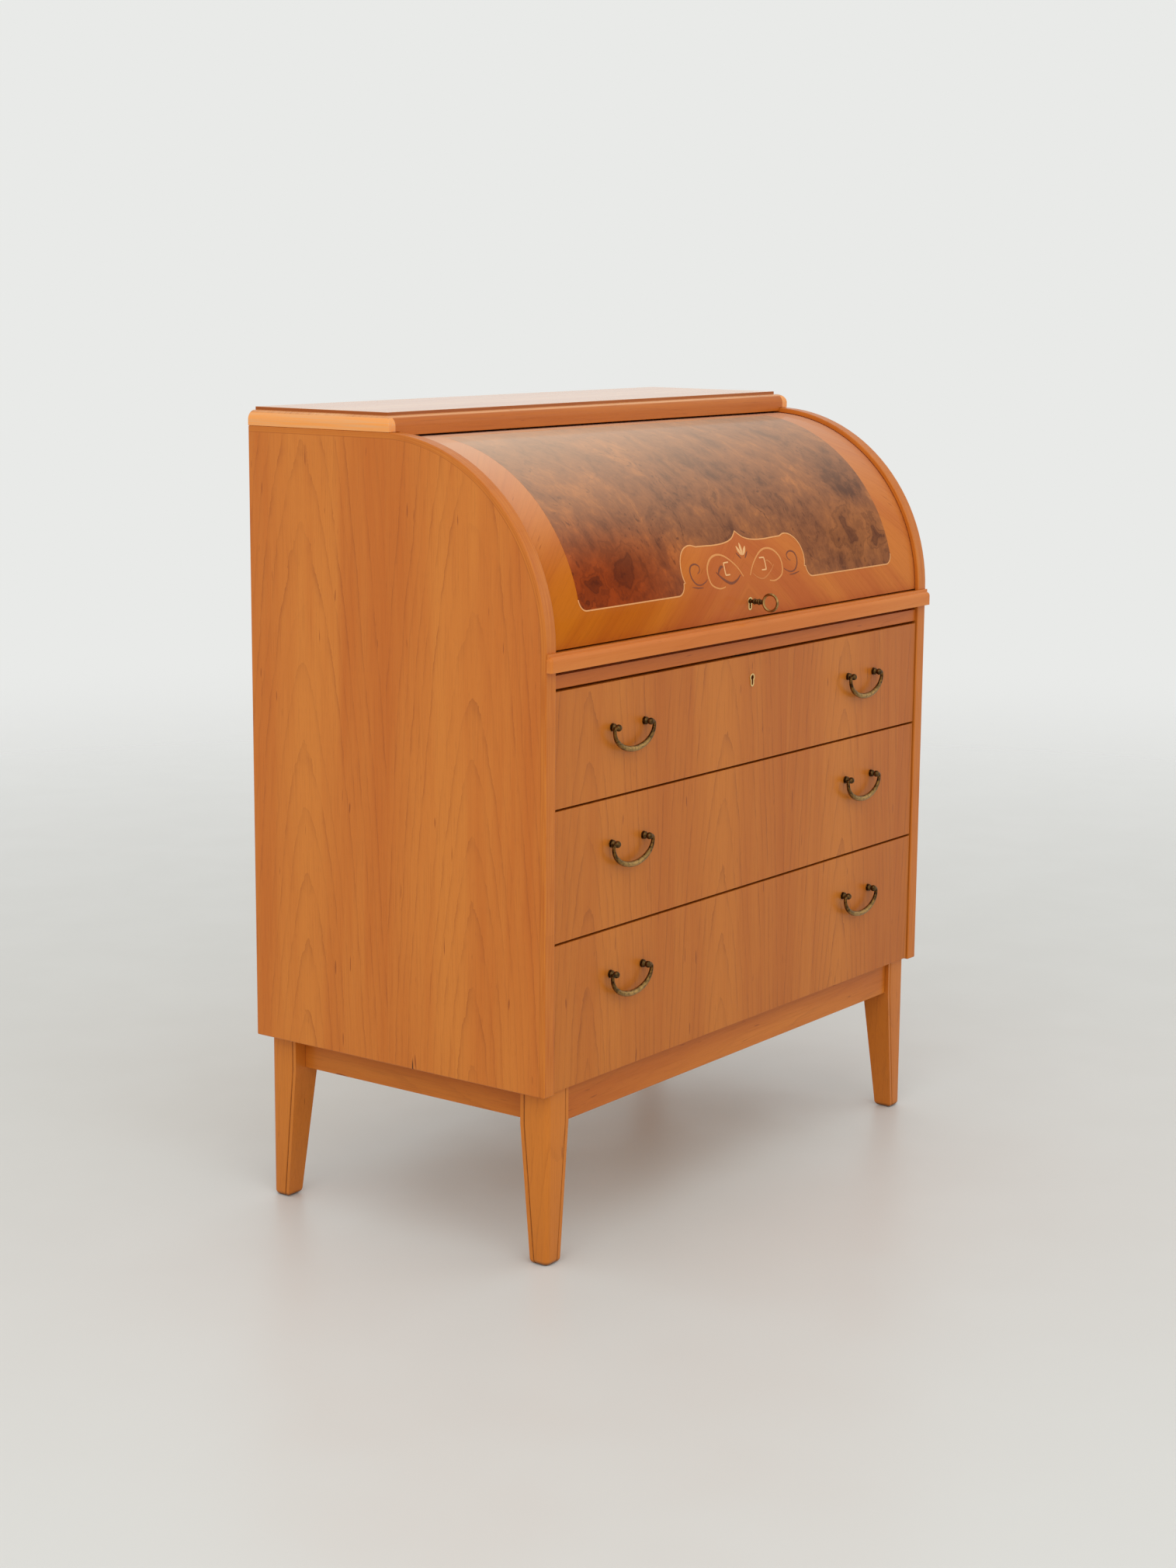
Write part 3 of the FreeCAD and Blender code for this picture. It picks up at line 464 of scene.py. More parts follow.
# Side panel: place of its leaves, its solid lip with the seam, and a small split at the left foot
SIDE_SHIFT = -0.029
LIP_WIDTH, LIP_BLUR = 0.0075, 0.0002
LIP_FIBRES, LIP_STEP = Grain(0.02, 600, 3), (0.3, 0.75)
LIP_SHARE = 0.8
SEAM_STEP = (0.0, 0.0006, 0.45, 0.0)
SPLIT_AT, SPLIT_REACH, SPLIT_CORE = (-0.0106, 0.222), (0.0014, 0.016), 0.3


def lipped_panel(name, tones, edge_tones, dirt_and_shade):
    """A veneered side with a solid lip along its curved outline, and a small split on the left one."""
    finish = Finish(name, **SATIN)
    point = finish.parted(finish.where())
    veneer = timber(finish, point["Y"], point["Z"], 0.0, tones, lines=SIDE_LINES, shift=SIDE_SHIFT)
    forward = finish.math("MAXIMUM", finish.math("SUBTRACT", LID_AXIS.y, point["Y"]), 0.0)
    upward = finish.math("MAXIMUM", finish.math("SUBTRACT", point["Z"], LID_AXIS.z), 0.0)
    inward = finish.math("SUBTRACT", PANEL_ARC, finish.hypotenuse(forward, upward))
    curve = finish.scaled(finish.math("ARCTAN2", upward, forward), PANEL_ARC)
    run = finish.total(curve, finish.math("MINIMUM", point["Z"], LID_AXIS.z))
    fibre = finish.grained(inward, run, LIP_FIBRES, point["X"])
    light, middle, line = edge_tones
    solid = finish.mix(finish.ease(fibre, *LIP_STEP), light, middle)
    lip = finish.ease(inward, LIP_WIDTH - LIP_BLUR, LIP_WIDTH + LIP_BLUR, LIP_SHARE, 0.0)
    shade = finish.mix(lip, veneer, solid)
    split = finish.patch(point["Y"], point["Z"], SPLIT_AT, SPLIT_REACH, SPLIT_CORE)
    left = finish.math("LESS_THAN", point["X"], 0.0)
    shade = finish.mix(finish.math("MULTIPLY", split, left), shade, dirt_and_shade)
    seam = finish.ease(finish.math("ABSOLUTE", finish.math("SUBTRACT", inward, LIP_WIDTH)), *SEAM_STEP)
    finish.paint(finish.mix(seam, shade, line))
    return finish.material


# Top board: its lacquer, its ends painted paler as a painted highlight, and painted shade in the step under its
# face
TOP_LACQUER = {"coat": 1.0, "coat_ior": 1.12, "specular": 0.05}
TOP_RELIEF = 0.015
END_FIBRES, END_FIBRE_STEP = Grain(0.02, 500, 3), (0.35, 0.7)
END_STEP = (0.012, 0.013, 1.0, 0.0)
TOP_STEP_DEPTH = 0.004
TOP_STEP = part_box("top_board")[1].z - TOP_STEP_DEPTH
# Painted shade along the step under the top's face
STEP_SHADE = (TOP_STEP - 0.0004, TOP_STEP + 0.0008, 0.0, 0.3)
EDGE_LEVEL = 0.8


def top_wood(name, tones):
    """The glossy face of the top."""
    finish = Finish(name, **TOP_LACQUER)
    point = finish.parted(finish.where())
    finish.paint(timber(finish, point["Y"], point["X"], 0.0, tones, lines=CALM_LINES, relief=TOP_RELIEF))
    return finish.material


def top_edge_wood(name, tones, lit_end_tones, dirt_and_shade):
    """Edges of the top: ends painted paler than the front as a painted highlight, and painted shade in the step
    under the face.
    """
    finish = Finish(name, **SATIN)
    point = finish.parted(finish.where())
    front = timber(finish, point["Z"], point["X"], 0.0, tones, lines=EDGE_LINES)
    inward = finish.math("SUBTRACT", PANEL_REACH, finish.math("ABSOLUTE", point["X"]))
    fibre = finish.grained(point["Z"], point["Y"], END_FIBRES, inward)
    ends = finish.mix(finish.ease(fibre, *END_FIBRE_STEP), *lit_end_tones)
    # Painted highlight: ends paler than the front
    shade = finish.mix(finish.ease(inward, *END_STEP), front, ends)
    # Painted shade in the step under the face
    finish.paint(finish.mix(finish.ease(point["Z"], *STEP_SHADE), shade, dirt_and_shade))
    return finish.material


def edged(piece, material):
    """Gives the faces of a piece that don't look up a finish of their own."""
    piece.data.materials.append(material)
    for face in piece.data.polygons:
        face.material_index = int(face.normal.z < EDGE_LEVEL)


def unrolled(finish):
    """Places on the lid: across, and up along its curve."""
    point = finish.parted(finish.where())
    up = finish.math("SUBTRACT", point["Z"], LID_AXIS.z)
    forward = finish.math("SUBTRACT", LID_AXIS.y, point["Y"])
    return point["X"], finish.scaled(finish.math("ARCTAN2", up, forward), LID_RADIUS)


# Lid: its lacquer, the deep tones at its lower left, partly painted shade and partly the wood's own tone, and the
# paling towards its top, more on the left, partly painted sheen and partly bleaching
LID_LACQUER = {"coat": 0.25, "coat_ior": 1.25, "specular": 0.0}
EMBER_AT, EMBER_REACH, EMBER_CORE = (-0.33, 0.04), (0.32, 0.15), 0.2
# Filters of the painted shade at the lid's lower left, partly the wood's own deeper tone
BORDER_EMBER_SHADE, BURL_EMBER_SHADE = tint(242, 223, 92), tint(240, 160, 66)
SHEEN_BLEACH_STEP = (0.08, 0.37, 0.0, 0.53)
SHEEN_BLEACH_ACROSS = (-PANEL_REACH, PANEL_REACH, 1.0, 0.6)


def lit_and_weathered(finish, x, arc, shade, ember_shade, sheen_and_bleach):
    """A colour deepened towards the lid's lower left corner, partly painted shade, and paled towards its top,
    partly painted sheen and partly daylight bleaching.
    """
    corner_shade = finish.patch(x, arc, EMBER_AT, EMBER_REACH, EMBER_CORE)
    deep = finish.mix(corner_shade, shade, ember_shade, "MULTIPLY")
    high = finish.ease(arc, *SHEEN_BLEACH_STEP)
    leftward = finish.ease(x, *SHEEN_BLEACH_ACROSS)
    return finish.mix(finish.math("MULTIPLY", high, leftward), deep, sheen_and_bleach)


BORDER_SLANT = math.radians(38)
BORDER_LEAF = 0.6


def banding(name, tones, sheen_and_bleach):
    """Border veneer of the lid, laid slantwise and mirrored about the middle."""
    finish = Finish(name, **LID_LACQUER)
    x, arc = unrolled(finish)
    out = finish.math("ABSOLUTE", x)
    sine, cosine = math.sin(BORDER_SLANT), math.cos(BORDER_SLANT)
    along = finish.math("SUBTRACT", finish.scaled(arc, sine), finish.scaled(out, cosine))
    across = finish.total(finish.scaled(out, sine), finish.scaled(arc, cosine))
    veneer = timber(finish, across, along, 0.0, tones, leaf=BORDER_LEAF, lines=BORDER_LINES)
    # Painted shade at the lower left and painted sheen towards the top
    finish.paint(lit_and_weathered(finish, x, arc, veneer, BORDER_EMBER_SHADE, sheen_and_bleach))
    return finish.material


# Knots of the burl, as places on the unrolled lid with their reach across and up, and their darkness
KNOTS = (
    (-0.262, 0.086, 0.042, 0.036, 0.65),
    (-0.33, 0.073, 0.028, 0.025, 0.7),
    (0.27, 0.096, 0.036, 0.032, 0.75),
    (0.332, 0.086, 0.026, 0.028, 0.75),
    (-0.03, 0.226, 0.02, 0.03, 0.4),
    (-0.006, 0.166, 0.01, 0.02, 0.6),
)
# Cracks and dark clouds of the burl, as places with their reach across and up
CRACKS = ((-0.118, 0.132, 0.0022, 0.03), (0.074, 0.15, 0.0022, 0.03))
CLOUDS = (
    (-0.26, 0.075, 0.17, 0.07),
    (0.3, 0.08, 0.14, 0.07),
    (0.0, 0.19, 0.13, 0.12),
    (0.3, 0.17, 0.13, 0.12),
    (-0.29, 0.27, 0.1, 0.08),
    (0.2, 0.31, 0.12, 0.06),
)
# How the figure of the burl is pushed about, as the scale of the clouds and their reach
BEND, RUFFLE, TEAR = (7.0, 0.09), (24.0, 0.05), (30.0, 0.085)
FLOW_LEAN, FLOW_STRETCH = 0.34, 0.48
# Noises of the burl: scale, detail, roughness and distortion
MOTTLE_NOISE = (44, 7, 0.66, 0.3)
STREAK_NOISE = (30, 6, 0.62, 0.5)
FINE_NOISE = (240, 4, 0.7)
SPECK_NOISE = (135, 3, 0.6)
CROWD_NOISE = (13, 2)
CLOUD_NOISE = (9, 3, 0.55)
EYE_SCALE = 70.0
# Smooth steps of the burl, as the levels they run between and the values they give
FIGURE_STEP = (0.3, 0.7)
SPECK_STEP = (0.58, 0.7)
CROWD_STEP = (0.4, 0.6)
EYE_STEP = (0.08, 0.24, 1.0, 0.0)
CLOUD_STEP = (0.36, 0.64)
BROWN_STEP = (0.12, 0.56)
GOLD_STEP = (0.48, 0.96)
SWIRL_STEP = (0.5, 1.7, 0.7, 0.0)
BURL_ROUGHNESS = (0.3, 0.8, 0.26, 0.36)
# Shares of the figures in the burl's tone, and of its marks in the colour
CLOUD_SHARE, MOTTLE_SHARE, STREAK_SHARE, FINE_SHARE = 0.24, 0.26, 0.24, 0.36
CLOUD_CORE, CLOUD_GLOOM = 0.1, 0.5
SPECK_SHARE, EYE_SHARE = 0.75, 0.7
CRACK_CORE, CRACK_SHARE = 0.3, 0.7
# A knot's gold halo and dark core, as where they begin and end and their shares, and its swirl
HALO_START, HALO_END, HALO_SHARE = 0.7, 2.0, 0.6
CORE_END, CORE_SHARE = 1.3, 1.1
KNOT_RINGS, KNOT_DRIFT = 13.0, 3.0
BURL_RELIEF, BURL_RELIEF_DEPTH = 0.06, 0.0002


def knotted(finish, shade, place, mottle, dark, gold):
    """The burl's colour with its knots: a gold halo, dark swirls and a dark core."""
    for x, arc, wide, tall, darkness in KNOTS:
        away = finish.oval(place["X"], place["Y"], (x, arc), (wide, tall))
        halo = finish.ease(away, HALO_START, HALO_END, HALO_SHARE * darkness, 0.0)
        shade = finish.mix(halo, shade, gold)
        drift = finish.scaled(mottle, KNOT_DRIFT)
        wave = finish.math("SINE", finish.total(finish.scaled(away, KNOT_RINGS), drift))
        swirl = finish.math("MULTIPLY", finish.ease(wave, 0.0, 1.0), finish.ease(away, *SWIRL_STEP))
        shade = finish.mix(finish.scaled(swirl, darkness), shade, dark)
        shade = finish.mix(finish.ease(away, 0.0, CORE_END, CORE_SHARE * darkness, 0.0), shade, dark)
    return shade


def burl(name, dark, brown, gold, sheen_and_bleach):
    """Burl veneer: mottled figure, dark clouds, small eyes, soft knots and cracks."""
    finish = Finish(name, **LID_LACQUER)
    x, arc = unrolled(finish)
    flat = finish.spot(x, arc)
    bent = finish.pushed(flat, *BEND)
    ruffled = finish.pushed(flat, *RUFFLE)
    swept = finish.parted(bent)
    torn = finish.parted(finish.pushed(flat, *TEAR))
    lean = finish.total(swept["X"], finish.scaled(swept["Y"], FLOW_LEAN))
    flow = finish.spot(lean, finish.scaled(swept["Y"], FLOW_STRETCH))
    mottle = finish.ease(finish.noise(ruffled, *MOTTLE_NOISE), *FIGURE_STEP)
    streak = finish.ease(finish.noise(flow, *STREAK_NOISE), *FIGURE_STEP)
    fine = finish.noise(flow, *FINE_NOISE)
    speck = finish.ease(finish.noise(flow, *SPECK_NOISE), *SPECK_STEP)
    crowd = finish.ease(finish.noise(flat, *CROWD_NOISE), *CROWD_STEP)
    cells = finish.add("ShaderNodeTexVoronoi", {"Vector": ruffled, "Scale": EYE_SCALE})
    eye = finish.math("MULTIPLY", finish.ease(cells.outputs["Distance"], *EYE_STEP), crowd)
    cloud = finish.ease(finish.noise(bent, *CLOUD_NOISE), *CLOUD_STEP)
    for at_x, at_arc, wide, tall in CLOUDS:
        gloom = finish.patch(swept["X"], swept["Y"], (at_x, at_arc), (wide, tall), CLOUD_CORE)
        cloud = finish.math("SUBTRACT", cloud, finish.scaled(gloom, CLOUD_GLOOM))
    tone = finish.total(
        finish.scaled(cloud, CLOUD_SHARE),
        finish.scaled(mottle, MOTTLE_SHARE),
        finish.scaled(streak, STREAK_SHARE),
        finish.scaled(fine, FINE_SHARE),
    )
    shade = finish.mix(finish.ease(tone, *BROWN_STEP), dark, brown)
    shade = finish.mix(finish.ease(tone, *GOLD_STEP), shade, gold)
    shade = finish.mix(finish.scaled(finish.math("MULTIPLY", speck, crowd), SPECK_SHARE), shade, dark)
    shade = finish.mix(finish.scaled(eye, EYE_SHARE), shade, dark)
    shade = knotted(finish, shade, torn, mottle, dark, gold)
    for at_x, at_arc, wide, tall in CRACKS:
        crack = finish.patch(torn["X"], torn["Y"], (at_x, at_arc), (wide, tall), CRACK_CORE)
        shade = finish.mix(finish.scaled(crack, CRACK_SHARE), shade, dark)
    # Painted shade at the lower left and painted sheen towards the top
    finish.paint(lit_and_weathered(finish, x, arc, shade, BURL_EMBER_SHADE, sheen_and_bleach))
    finish.roughen(finish.ease(fine, *BURL_ROUGHNESS))
    finish.bump(fine, BURL_RELIEF, BURL_RELIEF_DEPTH)
    return finish.material


INLAY_FIBRES = Grain(0.2, 900, 3)
INLAY_STEP = (0.4, 0.8, 0.0, 0.35)
INLAY_ROUGHNESS = (0.3, 0.8, 0.34, 0.44)


def inlay_wood(name, shade, line):
    """A plain inlay wood with fine fibres."""
    finish = Finish(name, **SATIN)
    x, arc = unrolled(finish)
    fibre = finish.grained(x, arc, INLAY_FIBRES)
    finish.paint(finish.mix(finish.ease(fibre, *INLAY_STEP), shade, line))
    finish.roughen(finish.ease(fibre, *INLAY_ROUGHNESS))
    return finish.material


# Aged brass: its patina, its rubbing and its grain
PATINA_NOISE = (260, 4, 0.6)
PATINA_STEP = (0.38, 0.66)
PATINA_ROUGHNESS = (0.3, 0.75, 0.28, 0.48)
RUB_STEP = (0.3, 0.6, 0.45, 1.0)
CAST_SCALE, CAST_RELIEF, CAST_DEPTH = 1400, 0.08, 0.0001
# Plain metal: its stains, and how far they change its roughness
STAIN_NOISE = (190, 4, 0.6)
STAIN_STEP = (0.45, 0.75, 0.0, 0.6)
STAIN_LEVELS = (0.3, 0.8)
STAIN_SMOOTHER, STAIN_ROUGHER = 0.06, 0.1


def aged_brass(name, dark, aged, worn):
    """Brass with brown patina, rubbed pale where the attribute says."""
    finish = Finish(name, metallic=1.0)
    place = finish.where()
    patina = finish.noise(place, *PATINA_NOISE)
    shade = finish.mix(finish.ease(patina, *PATINA_STEP), dark, aged)
    rub = finish.math("MULTIPLY", finish.attribute("rubbed"), finish.ease(patina, *RUB_STEP))
    finish.paint(finish.mix(rub, shade, worn))
    finish.roughen(finish.ease(patina, *PATINA_ROUGHNESS))
    finish.bump(finish.noise(place, CAST_SCALE), CAST_RELIEF, CAST_DEPTH)
    return finish.material


def metal(name, shade, stain_shade, roughness):
    """Plain metal with faint stains."""
    finish = Finish(name, metallic=1.0)
    stain = finish.noise(finish.where(), *STAIN_NOISE)
    finish.paint(finish.mix(finish.ease(stain, *STAIN_STEP), shade, stain_shade))
    smooth, rough = roughness - STAIN_SMOOTHER, roughness + STAIN_ROUGHER
    finish.roughen(finish.ease(stain, *STAIN_LEVELS, smooth, rough))
    return finish.material


SHARP_ANGLE = math.radians(40)


def finished(name, shaper, material, body, replaces=()):
    """Turns a mesh in work into a piece that rides on a body of the desk."""
    mesh = bpy.data.meshes.new(name)
    bmesh.ops.recalc_face_normals(shaper, faces=shaper.faces)
    shaper.to_mesh(mesh)
    shaper.free()
    mesh.materials.append(material)
    mesh.shade_smooth()
    mesh.set_sharp_from_angle(angle=SHARP_ANGLE)
    piece = bpy.data.objects.new(name, mesh)
    bpy.context.scene.collection.objects.link(piece)
    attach(piece, body)
    if replaces:
        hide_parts(*replaces)
    return piece


def stand_in(node, suffix, shaper, material):
    """A piece that stands for a sub-part."""
    return finished(f"{node}_{suffix}", shaper, material, BODY_OF[node], (node,))


WELD = 2e-6
FLAT = math.radians(0.5)
CREASE = math.radians(25)
ROUND_PROFILE = 0.5
ROUNDER = 3
# How far the edges of the pieces are eased
PANEL_EASE = 0.0016
MOULDING_EASE = 0.0012
FRAME_EASE = 0.001
RAIL_EASE = 0.0008
FRONT_EASE = 0.0007
BOARD_EASE = 0.0006
BOX_EASE = 0.0005
SHEET_EASE = 0.0004
RIM_EASE = 0.0003


def softened(node, material, ease, segments=2, trim=(0.0, 0.0, 0.0)):
    """A copy of a sub-part with eased edges, which stands for it, its far faces set in by the trim."""
    low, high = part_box(node)
    high = high - Vector(trim)
    shaper = bmesh.new()
    shaper.from_mesh(NODES[node].data)
    bmesh.ops.remove_doubles(shaper, verts=shaper.verts, dist=WELD)
    bmesh.ops.dissolve_limit(shaper, angle_limit=FLAT, verts=shaper.verts, edges=shaper.edges)
    creases = [edge for edge in shaper.edges if edge.is_manifold and edge.calc_face_angle(0) > CREASE]
    bmesh.ops.bevel(
        shaper, geom=creases, offset=ease, segments=segments,
        profile=ROUND_PROFILE, affect="EDGES", clamp_overlap=True,
    )
    for vert in shaper.verts:
        vert.co = [min(max(at, least), most) for at, least, most in zip(vert.co, low, high)]
    piece = stand_in(node, "wood", shaper, material)
    weighted = piece.modifiers.new("Even shading", "WEIGHTED_NORMAL")
    weighted.keep_sharp = True
    return piece


def dress(material, *nodes):
    """Gives sub-parts that keep their own mesh a finish."""
    for node in nodes:
        NODES[node].data.materials.clear()
        NODES[node].data.materials.append(material)


def on_lid(x, arc, height):
    """A point on the lid from its place on the unrolled lid and its height above it."""
    angle = arc / LID_RADIUS
    radius = LID_RADIUS + height
    return Vector((x, LID_AXIS.y - radius * math.cos(angle), LID_AXIS.z + radius * math.sin(angle)))


def arc_points(centre, radius, start, end, count):
    """Points on a circle between two angles in degrees."""
    points = []
    for step in range(count + 1):
        angle = math.radians(start + (end - start) * step / count)
        points.append((centre[0] + radius * math.cos(angle), centre[1] + radius * math.sin(angle)))
    return points


def smooth_line(points, steps=8):
    """A flowing line through a few points."""
    ends = [points[0], *points, points[-1]]
    line = []
    for corners in zip(ends, ends[1:], ends[2:], ends[3:]):
        for step in range(steps):
            t = step / steps
            weights = (
                -0.5 * t + t * t - 0.5 * t ** 3,
                1 - 2.5 * t * t + 1.5 * t ** 3,
                0.5 * t + 2 * t * t - 1.5 * t ** 3,
                -0.5 * t * t + 0.5 * t ** 3,
            )
            line.append(tuple(sum(w * c[axis] for w, c in zip(weights, corners)) for axis in (0, 1)))
    return line + [points[-1]]


def millimetres(*points):
    return [(x * MM, arc * MM) for x, arc in points]


def mirrored(points):
    return [(-x, arc) for x, arc in points]


def paired(points):
    """A line and its mirror image on the other half of the lid."""
    return [points, mirrored(points)]


def neighbours(line, index, closed):
    """The points before and after a point of a line, or the point itself at an open end."""
    last = len(line) - 1
    before = line[index - 1] if closed or index else line[0]
    after = line[(index + 1) % len(line)] if closed or index < last else line[last]
    return before, after


def join_rings(shaper, rings, closed=False):
    """Faces between rings of points, with the two ends capped unless the rings close."""
    following = rings[1:] + rings[:1] if closed else rings[1:]
    for ring, after in zip(rings, following):
        for index in range(len(ring)):
            turn = (index + 1) % len(ring)
            shaper.faces.new((ring[index], ring[turn], after[turn], after[index]))
    if not closed:
        shaper.faces.new(rings[0])
        shaper.faces.new(reversed(rings[-1]))


SINK = 0.0004


def ribbon(shaper, line, widths, lift, closed=False):
    """A thin flat strip laid on the lid along a line, with a width at each point."""
    rows = []
    for index, (x, arc) in enumerate(line):
        before, after = neighbours(line, index, closed)
        run = Vector((after[0] - before[0], after[1] - before[1])).normalized()
        half = widths[index] / 2
        left = (x - run.y * half, arc + run.x * half)
        right = (x + run.y * half, arc - run.x * half)
        spots = ((*left, lift), (*right, lift), (*right, -SINK), (*left, -SINK))
        rows.append([shaper.verts.new(on_lid(*spot)) for spot in spots])
    join_rings(shaper, rows, closed)


def tapered(line, width, thin):
    """Widths that swell from thin ends to the full width at the middle."""
    last = len(line) - 1
    return [width * (thin + (1 - thin) * math.sin(math.pi * index / last)) for index in range(last + 1)]


# Right half of the cartouche on the unrolled lid, in millimetres, from its peak down to the burl's edge
PEAK = (
    (0, 115.5), (6, 110.5), (14, 105.8), (26, 102.4), (42, 100.6), (60, 100.2), (80, 100.8), (98, 101.2),
)
SHOULDER_CENTRE, SHOULDER_RADIUS, SHOULDER_TURN = (111, 71.5), 32.5, (96, -26)
NOTCH_CENTRE, NOTCH_RADIUS, NOTCH_TURN = (158, 56.5), 14.5, (180, 270)
SHOULDER_STEPS, NOTCH_STEPS, CORNER_STEPS = 22, 10, 10


def cartouche_half():
    """The cartouche's right half: a peak, a round shoulder and a notch."""
    peak = smooth_line(PEAK)
    shoulder = arc_points(SHOULDER_CENTRE, SHOULDER_RADIUS, *SHOULDER_TURN, SHOULDER_STEPS)
    notch = arc_points(NOTCH_CENTRE, NOTCH_RADIUS, *NOTCH_TURN, NOTCH_STEPS)
    return millimetres(*peak, *shoulder, *notch)


def burl_outline(sizes):
    """The burl's outline on the unrolled lid, round its corners and the cartouche."""
    half = cartouche_half()
    reach, low, high, corner = sizes.burl_half, sizes.burl_low, sizes.burl_high, sizes.burl_corner
    right = arc_points((reach - corner, low + corner), corner, -90, 0, CORNER_STEPS)
    left = arc_points((corner - reach, low + corner), corner, 180, 270, CORNER_STEPS)
    return [*mirrored(half[:0:-1]), *half, *right, (reach, high), (-reach, high), *left]


CUT_STEP = math.radians(1.5)


def veneer_sheet(outline, thickness):
    """A thin sheet bent to the lid's curve, with the given outline."""
    shaper = bmesh.new()
    shaper.faces.new([shaper.verts.new((x, arc, 0)) for x, arc in outline])
    step = CUT_STEP * LID_RADIUS
    low = min(arc for x, arc in outline)
    high = max(arc for x, arc in outline)
    for number in range(1, int((high - low) / step) + 1):
        geometry = [*shaper.verts, *shaper.edges, *shaper.faces]
        cut = (0, low + number * step, 0)
        bmesh.ops.bisect_plane(shaper, geom=geometry, plane_co=cut, plane_no=(0, 1, 0))
    bmesh.ops.triangulate(shaper, faces=[face for face in shaper.faces if len(face.verts) > 4])
    grown = bmesh.ops.extrude_face_region(shaper, geom=list(shaper.faces))
    for vert in (item for item in grown["geom"] if isinstance(item, bmesh.types.BMVert)):
        vert.co.z += thickness + SINK
    for vert in shaper.verts:
        vert.co = on_lid(vert.co.x, vert.co.y, vert.co.z - SINK)
    return shaper


def round_ring(shaper, centre, side, other, radius, sides, rub):
    """A ring of points about a centre, which carry how much hands have rubbed them."""
    layers = shaper.verts.layers.float
    layer = layers.get("rubbed") or layers.new("rubbed")
    ring = []
    for index in range(sides):
        angle = 2 * math.pi * index / sides
        across, along = radius * math.cos(angle), radius * math.sin(angle)
        vert = shaper.verts.new(centre + side * across + other * along)
        vert[layer] = rub
        ring.append(vert)
    return ring


def turned(shaper, profile, start, direction, sides=24, rubbed=0.0):
    """A turned shape about a line, from pairs of distance along it and radius."""
    side = direction.orthogonal().normalized()
    other = direction.cross(side)
    rings = []
    for along, radius in profile:
        rings.append(round_ring(shaper, start + direction * along, side, other, radius, sides, rubbed))
    join_rings(shaper, rings)


def bowed(shaper, path, radii, rubs, forward, sides=16, closed=False):
    """A round bar along a path that lies in a plane square to the forward direction."""
    rings = []
    for index, (point, radius, rub) in enumerate(zip(path, radii, rubs)):
        before, after = neighbours(path, index, closed)
        side = (after - before).normalized().cross(forward).normalized()
        rings.append(round_ring(shaper, point, side, forward, radius, sides, rub))
    join_rings(shaper, rings, closed)


def bead(centre, reach, base, swell, start=0, end=180, steps=6):
    """Profile of a bead on a turned shape, between two angles in degrees."""
    profile = []
    for step in range(steps + 1):
        angle = math.radians(start + (end - start) * step / steps)
        profile.append((centre - reach * math.cos(angle), base + swell * math.sin(angle)))
    return profile


BALL_STEPS = 12
BALL_TIP = 0.00005


def ball(radius, centre, opening):
    """Profile of a ball on a turned shape, from an opening angle to its tip."""
    profile = bead(centre, radius, 0.0, radius, start=opening, steps=BALL_STEPS)
    return [(along, max(out, BALL_TIP)) for along, out in profile]


NAIL_STAND = 0.0007
SHADOW_LINE = 0.0022


class DESK_OT_case(bpy.types.Operator):
    """Veneers the case: sides, top board, back, rails and boards"""

    bl_idname = "desk.case"
    bl_label = "Case"

    def execute(self, context):
        woods = context.scene.desk_woods
        solid, inner = woods.tones("solid"), woods.tones("inner")
        sides = lipped_panel("side_veneer", woods.tones("case"), solid, woods.dirt_and_shade)
        for side in SIDES:
            softened(f"{side}_side_panel", sides, PANEL_EASE, ROUNDER)
        # Top face in paler tones, partly a painted sheen
        top = (woods.top_sheen_light, woods.top_sheen_middle, woods.case_line)
        # Paler tones of the top's ends, a painted highlight
        ends = (woods.top_lit_end, woods.top_sheen_light)
        top_board = softened("top_board", top_wood("top_veneer", top), BOARD_EASE)
        edged(top_board, top_edge_wood("top_edge_wood", solid, ends, woods.dirt_and_shade))
        nosing = (woods.moulding_light, woods.moulding_middle, woods.solid_middle)
        moulding = board("nosing_wood", nosing, "Z", "X", lines=SOLID_LINES)
        softened("slide_moulding", moulding, MOULDING_EASE, ROUNDER)
        # Rail in darker tones than the moulding, partly painted shade under it
        rail_shade_tones = (woods.case_middle, woods.solid_middle, woods.solid_line)
        rails = board("rail_wood", rail_shade_tones, "Z", "X", lines=SOLID_LINES)
        softened("front_rail", rails, RAIL_EASE, trim=(0.0, 0.0, SHADOW_LINE))
        ply = board("back_ply", inner, "X", "Z")
        softened("back_panel", ply, SHEET_EASE, trim=(0.0, NAIL_STAND, 0.0))
        plain = board("inner_boards", inner, "Y", "X", lines=CALM_LINES)
        dress(plain, "bottom_board", "desk_bed", "drawer_runners")
        return {"FINISHED"}


# Section of a leg: a rounded nose on its outer corner, and a groove and a strip beside each inner face
LEG_NOSE = 0.007
LEG_STRIP = 0.0045
LEG_GROOVE = 0.0024
GROOVE_DEPTH = 0.0013
# Share of painted shade and dirt in a leg's grooves
GROOVE_SHADE_AND_DIRT = 0.75
NOSE_STEPS = 8
FOOT_ROUND = 0.006
FOOT_LEVELS = (0.0, 0.1, 0.3, 0.6, 1.0)


def leg_section(size):
    """A leg's outline from its outer corner inwards, each point with its share of painted shade and dirt."""
    lip = size - LEG_STRIP
    side = [
        (size, 0.0, 0.0),
        (lip, 0.0, 0.0),
        (lip - LEG_GROOVE / 2, GROOVE_DEPTH, GROOVE_SHADE_AND_DIRT),
        (lip - LEG_GROOVE, 0.0, 0.0),
    ]
    nose = [(*spot, 0.0) for spot in arc_points((LEG_NOSE, LEG_NOSE), LEG_NOSE, 270, 180, NOSE_STEPS)]
    other = [(y, x, dirt_and_shade) for x, y, dirt_and_shade in reversed(side)]
    return [*side, *nose, *other, (size, size, 0.0)]


